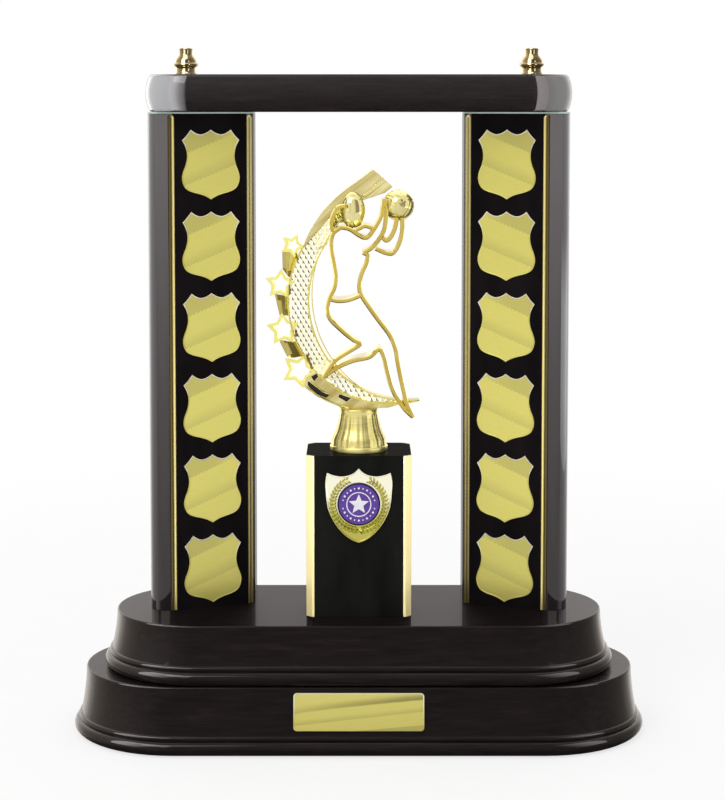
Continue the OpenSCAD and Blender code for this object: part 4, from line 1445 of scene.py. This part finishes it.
# %% Netball
ball_x, ball_z, ball_y, ball_r = 23.3, 118.9, -1.25, 9.3
cuts = 23
panel_cells = 8
groove = 0.972
ball = add_mesh("player_ball", bpy.ops.mesh.primitive_cube_add, size=2)
edit_mesh()
bpy.ops.mesh.subdivide(number_cuts=cuts)
leave_edit()
for vertex in ball.data.vertices:
    flat = [axis for axis in range(3) if abs(vertex.co[axis]) > 0.999]
    across = (flat[0] + 1) % 3
    line = round((vertex.co[across] + 1) / 2 * (cuts + 1))
    bow = Vector([math.tan(part * math.pi / 4) for part in vertex.co])
    vertex.co = bow.normalized() * ball_r * mm
    if len(flat) > 1 or line % panel_cells == 0:
        vertex.co *= groove
turn = Matrix.Rotation(math.radians(28), 4, "Y") @ Matrix.Rotation(math.radians(-35), 4, "Z")
settle(ball, Matrix.Translation(at(ball_x, ball_z, ball_y)) @ turn)
smooth(ball, 60)
dress(ball, bright_gold, "plated_gold")

# %% [markdown]
# # Hidden parts
# The fasteners, the pads and the felt are plain solids, and their shape in the frame is already
# right. So is that of the two black panels. They only need their finish.

# %% Finish the parts that stay from the frame
kept = {
    pad_green: ["left_top_pad", "right_top_pad"],
    steel: ["plinth_screws", "left_tie_rod", "right_tie_rod", "tie_rod_washers", "tie_rod_nuts",
            "figure_rod", "figure_rod_washer", "figure_rod_nut"],
    felt: ["base_felt"],
    black_laminate: ["left_panel", "right_panel"],
}
for finish, names in kept.items():
    for name in names:
        give_finish(frame["nodes"][name], finish)
        print(name, "->", finish.name)
# %% [markdown]
# # The floor
# The trophy stands on a plain pale floor. It is a grid whose rim is faded into the white around it,
# and it keeps a soft shadow close to the felt.

# %% Pale floor
floor = add_mesh("floor", bpy.ops.mesh.primitive_grid_add, size=6, x_subdivisions=8,
                 y_subdivisions=8)
paper, tree = new_finish("pale floor", 0.0, 0.9, Specular_IOR_Level=0.0)
matt = tree.nodes["Principled BSDF"]
speckle = noise(object_pattern(tree), 40.0, 3.0)
feed(matt.inputs["Base Color"], ramp(speckle, [(0.3, (0.93,) * 3), (0.7, (0.96,) * 3)]))
reach = node(tree, "VectorMath", operation="LENGTH")
feed(reach.inputs[0], node(tree, "TexCoord").outputs["Object"])
paleness = maths("ADD", times(step_up(reach.outputs["Value"], 0.35, 1.0), 0.28), 0.72)
from_camera = node(tree, "LightPath").outputs["Is Camera Ray"]
blend = node(tree, "MixShader", Fac=times(from_camera, paleness))
feed(blend.inputs[1], matt.outputs["BSDF"])
feed(blend.inputs[2], node(tree, "Emission", Strength=1.0).outputs["Emission"])
feed(tree.nodes["Material Output"].inputs["Surface"], blend.outputs["Shader"])
floor.data.materials.append(paper)
floor.visible_glossy = False

# %% [markdown]
# # Light
# Black lacquer and polished gold show the studio more than they show themselves, so the room
# around them is most of the picture. The World gives a plain white to the camera and an even light
# to matt surfaces. Mirror-like surfaces see a darker studio, whose brightness changes only with
# the angle from the front: dark ahead, where the camera stands, brighter towards the sides and
# brightest just behind them. That draws the long soft fade round the ends of the plinth.

# %% World: white to look at, a dark-fronted studio in reflections
world = bpy.data.worlds.new("studio")
bpy.context.scene.world = world
world.use_nodes = True
tree = world.node_tree
tree.nodes.clear()
x, y, z = axes(node(tree, "TexCoord").outputs["Generated"])
from_front = maths("ARCTAN2", maths("ABSOLUTE", x), times(y, -1.0))
ring = ramp(maths("DIVIDE", from_front, math.pi), [
    (0.10, (0.052, 0.044, 0.044)), (0.48, (0.20, 0.18, 0.155)), (0.66, (0.34, 0.305, 0.26)),
    (0.80, (0.90, 0.84, 0.76)), (0.90, (0.72, 0.68, 0.66)), (0.985, (0.235, 0.22, 0.215))])
dim_right = times(step_up(x, 0.35, 0.7), 1.05)
room = node(tree, "VectorMath", operation="SCALE", Scale=minus(2.0, dim_right))
feed(room.inputs[0], ring)
low_room = mix_colours(step_up(z, -0.12, -0.6), room.outputs[0], (0.05, 0.045, 0.04))
ray = node(tree, "LightPath").outputs
seen = maths("MAXIMUM", ray["Is Camera Ray"], ray["Is Transmission Ray"])
colour = mix_colours(ray["Is Glossy Ray"], (0.85, 0.85, 0.85), low_room)
colour = mix_colours(seen, colour, (1.0, 1.0, 1.0))
background = node(tree, "Background", Color=colour, Strength=1.0)
node(tree, "OutputWorld", Surface=background.outputs["Background"])
print("world with", len(tree.nodes), "nodes")

# %% [markdown]
# Area lights stand in for the paper walls and softboxes of the studio. Most of them shine only on
# the pieces they are linked to and only as a reflection, so each can be as bright as its highlight
# needs and the diffuse light stays even. Two differ: the low card in front of the pedestal's strips
# also lights them as plain light, and the key light shines on everything. A wall can fade from one
# side to the other, or from foot to top: its own node tree reads the place on the light, which
# Geometry gives as Parametric.

# %% Softboxes and cards
def linked_group(name, beginnings):
    group = bpy.data.collections.new(name)
    for piece in bpy.data.objects:
        if piece.type == "MESH" and piece.name.startswith(beginnings):
            group.objects.link(piece)
    return group


def softbox(name, place, aim, width, height, radiance, group=None, along="X", stops=(),
            colour=(1.0, 1.0, 1.0)):
    """An area light that looks as bright as a surface of this radiance."""
    lamp = bpy.data.lights.new(name, "AREA")
    lamp.shape = "RECTANGLE"
    lamp.size, lamp.size_y = width, height
    lamp.energy = radiance * math.pi * width * height
    lamp.color = colour
    box = bpy.data.objects.new(name, lamp)
    bpy.context.scene.collection.objects.link(box)
    box.location = place
    box.rotation_euler = (Vector(aim) - Vector(place)).to_track_quat("-Z", "Y").to_euler()
    box.visible_camera = False
    if group:
        box.light_linking.receiver_collection = group
        box.visible_diffuse = False
    if stops:
        lamp.use_nodes = True
        tree = lamp.node_tree
        part = axes(node(tree, "NewGeometry").outputs["Parametric"])["XYZ".index(along)]
        feed(tree.nodes["Emission"].inputs["Color"],
             ramp(part, [(position, (level,) * 3) for position, level in stops]))
    return box


FRONT_Y, SIDE_X = -1.7, 2.4


def front_card(name, x, z, *settings):
    """A card in front of the trophy that looks straight back."""
    softbox(name, (x, FRONT_Y, z), (x, 0, z), *settings)


def side_card(name, side, y, z, *settings):
    """A card on the left (-1) or the right (1) that looks straight across."""
    softbox(name, (side * SIDE_X, y, z), (0, y, z), *settings)


# %% Groups of pieces that a light can be linked to
beam_group = linked_group("beam group", ("beam_timber",))
column_group = linked_group("column group", ("left_column_timber", "right_column_timber"))
tier_group = linked_group("tier group", ("lower_tier", "upper_tier"))
figure_group = linked_group("figure group", (
    "crescent_", "figure_star", "figure_player", "keel_", "player_", "riser_", "badge_casting",
    "badge_wreath", "badge_ribbon"))
strip_group = linked_group("strip group", ("pedestal_strip",))
sheets = ("left_plate", "right_plate", "left_inner", "left_outer", "right_inner", "right_outer")
plate_group = linked_group("plate group", sheets + ("nameplate_",))
finial_group = linked_group("finial group", ("left_finial", "right_finial"))

# the beam, the sheets and the strips are left out of reflections, so that no gold mirrors them
for piece in bpy.data.objects:
    if piece.name.startswith(("beam_timber", "pedestal_strip") + sheets):
        piece.visible_glossy = False

# %% Lights for the beam, the columns and the plinth
# the beam sees a white wall round each end, up to a dark gap in front
cool = (1.0, 0.97, 1.0)
front_card("beam_front_left", -1.4, 0.4, 2.0, 7.0, 9.5, beam_group, "X",
           ((0.0, 1.0), (0.3, 0.95), (0.5, 0.85), (0.75, 0.45), (0.9, 0.3), (1.0, 0.06)), cool)
side_card("beam_side_left", -1, 1.0, 0.4, 5.4, 7.0, 9.0, beam_group, "X",
          ((0.0, 0.35), (0.45, 0.38), (0.6, 0.62), (0.75, 0.85), (1.0, 1.0)), (0.95, 0.97, 1.0))
front_card("beam_front_right", 1.61, 0.4, 1.58, 7.0, 5.8, beam_group, "X",
           ((0.0, 0.75), (0.08, 0.9), (1.0, 0.72)), (1.0, 0.93, 0.91))
side_card("beam_side_right", 1, 1.0, 0.4, 5.4, 7.0, 3.3, beam_group, "X",
          ((0.0, 1.0), (0.25, 1.0), (0.5, 0.5), (1.0, 0.3)))

# the columns see a wall that darkens towards its foot
front_card("column_front", 0, 0.0, 4.8, 1.2, 3.2, column_group, "Y",
           ((0.25, 0.3), (0.48, 0.5), (0.75, 0.95)), (1.0, 0.93, 0.94))
for name, side in (("left", -1), ("right", 1)):
    side_card("column_side_" + name, side, 0.6, 0.0, 4.6, 1.6, 2.6, column_group, "Y",
              ((0.2, 0.45), (0.7, 0.95)), (0.97, 0.97, 1.0))

# a small low card lights the foot of the right column
softbox("column_right_low", (0.8, -0.1, 0.14), (0, -0.1, 0.14), 0.9, 0.22, 2.8, column_group,
        "Y", ((0.0, 0.6), (0.3, 1.0), (0.7, 1.0), (1.0, 0.0)))

# one high softbox on either side draws the streaks on the beads of the plinth
softbox("bead_left", (-1.4, -0.9, 1.2), (-0.1, 0, 0.05), 1.5, 2.0, 6.5, tier_group,
        "X", ((0.3, 1.0), (1.0, 0.0)), (1.0, 0.92, 0.94))
softbox("bead_right", (1.4, -0.9, 1.2), (0.1, 0, 0.05), 1.5, 2.0, 3.4, tier_group,
        "X", ((0.0, 0.0), (0.7, 1.0)), (1.0, 0.92, 0.94))
print("lights so far:", len(bpy.data.lights))

# %% Lights for the plates, the nuts and the figure
# the plates see two wide cards in front, one above and one on the floor
front_card("plate_front_left", -0.95, 0.4, 2.7, 2.2, 0.78, plate_group)
front_card("plate_front_right", 1.65, 0.4, 1.7, 2.2, 1.06, plate_group)
softbox("plate_above", (0, -0.9, 2.3), (0, 0, 0.2), 4.6, 1.4, 2.4, plate_group)
softbox("plate_floor", (0, -0.98, 0.004), (0, -0.98, 1.0), 4.8, 1.44, 1.18, plate_group)

# the brass nuts see two strips and a small card above, with dark between them
front_card("finial_left", -0.75, 0.6, 1.0, 2.4, 1.9, finial_group)
front_card("finial_right", 1.3, 0.6, 0.7, 2.4, 1.2, finial_group)
softbox("finial_above", (-0.2, -0.6, 1.9), (0, 0, 0.4), 1.2, 0.7, 1.6, finial_group)

# the plated figure sees bright cards all round, with one dark gap to the right of the camera
front_card("figure_front", -1.0, 1.45, 3.2, 2.8, 1.15, figure_group, "X",
           ((0.0, 1.0), (0.5, 0.9), (0.62, 0.55), (0.7, 0.85), (0.9, 0.8), (1.0, 0.4)))
softbox("figure_floor", (0, 0.3, 0.02), (0, 0.3, 1.0), 4.8, 4.2, 0.9, figure_group)
softbox("figure_right", (2.1, -1.0, 0.9), (0, 0, 0.9), 1.4, 2.4, 1.2, figure_group)
for side in (-1, 1):
    side_card("figure_side", side, 0.6, 0.8, 2.2, 2.4, 1.0, figure_group)
    side_card("strip_side", side, 0.4, 0.8, 2.6, 2.4, 1.9, strip_group)
strip_front = softbox("strip_front", (0, FRONT_Y, 0.3), (0, 0, 0.1), 2.4, 0.7, 6.0, strip_group)
strip_front.visible_diffuse = True
softbox("figure_back", (0, 2.3, 1.6), (0, 0, 1.6), 5.0, 3.4, 0.5, figure_group)
softbox("figure_above", (0, 0.3, 2.3), (0, 0.3, 0.2), 4.6, 4.0, 1.1, figure_group)
softbox("key_light", (-0.7, -1.1, 1.5), (0, 0, 0.15), 0.9, 0.9, 3.5)
print("lights:", len(bpy.data.lights))

# %% [markdown]
# # Camera
# The camera stands level with the beam and looks slightly down, so both tiers show their tops. A
# small shift moves the picture up without tilting the columns. Standard view transform keeps the
# colours as they are written.

# %% Camera and view
bpy.context.scene.view_settings.view_transform = "Standard"
lens = bpy.data.cameras.new("camera")
lens.lens = 89.62
lens.shift_x = 0.0046
lens.shift_y = -0.186
camera = bpy.data.objects.new("camera", lens)
bpy.context.scene.collection.objects.link(camera)
camera.location = (0, -1.176, 0.374)
camera.rotation_euler = (math.radians(85.72), 0, 0)
bpy.context.scene.camera = camera
print("camera", round(camera.location.length, 2), "m from the origin")
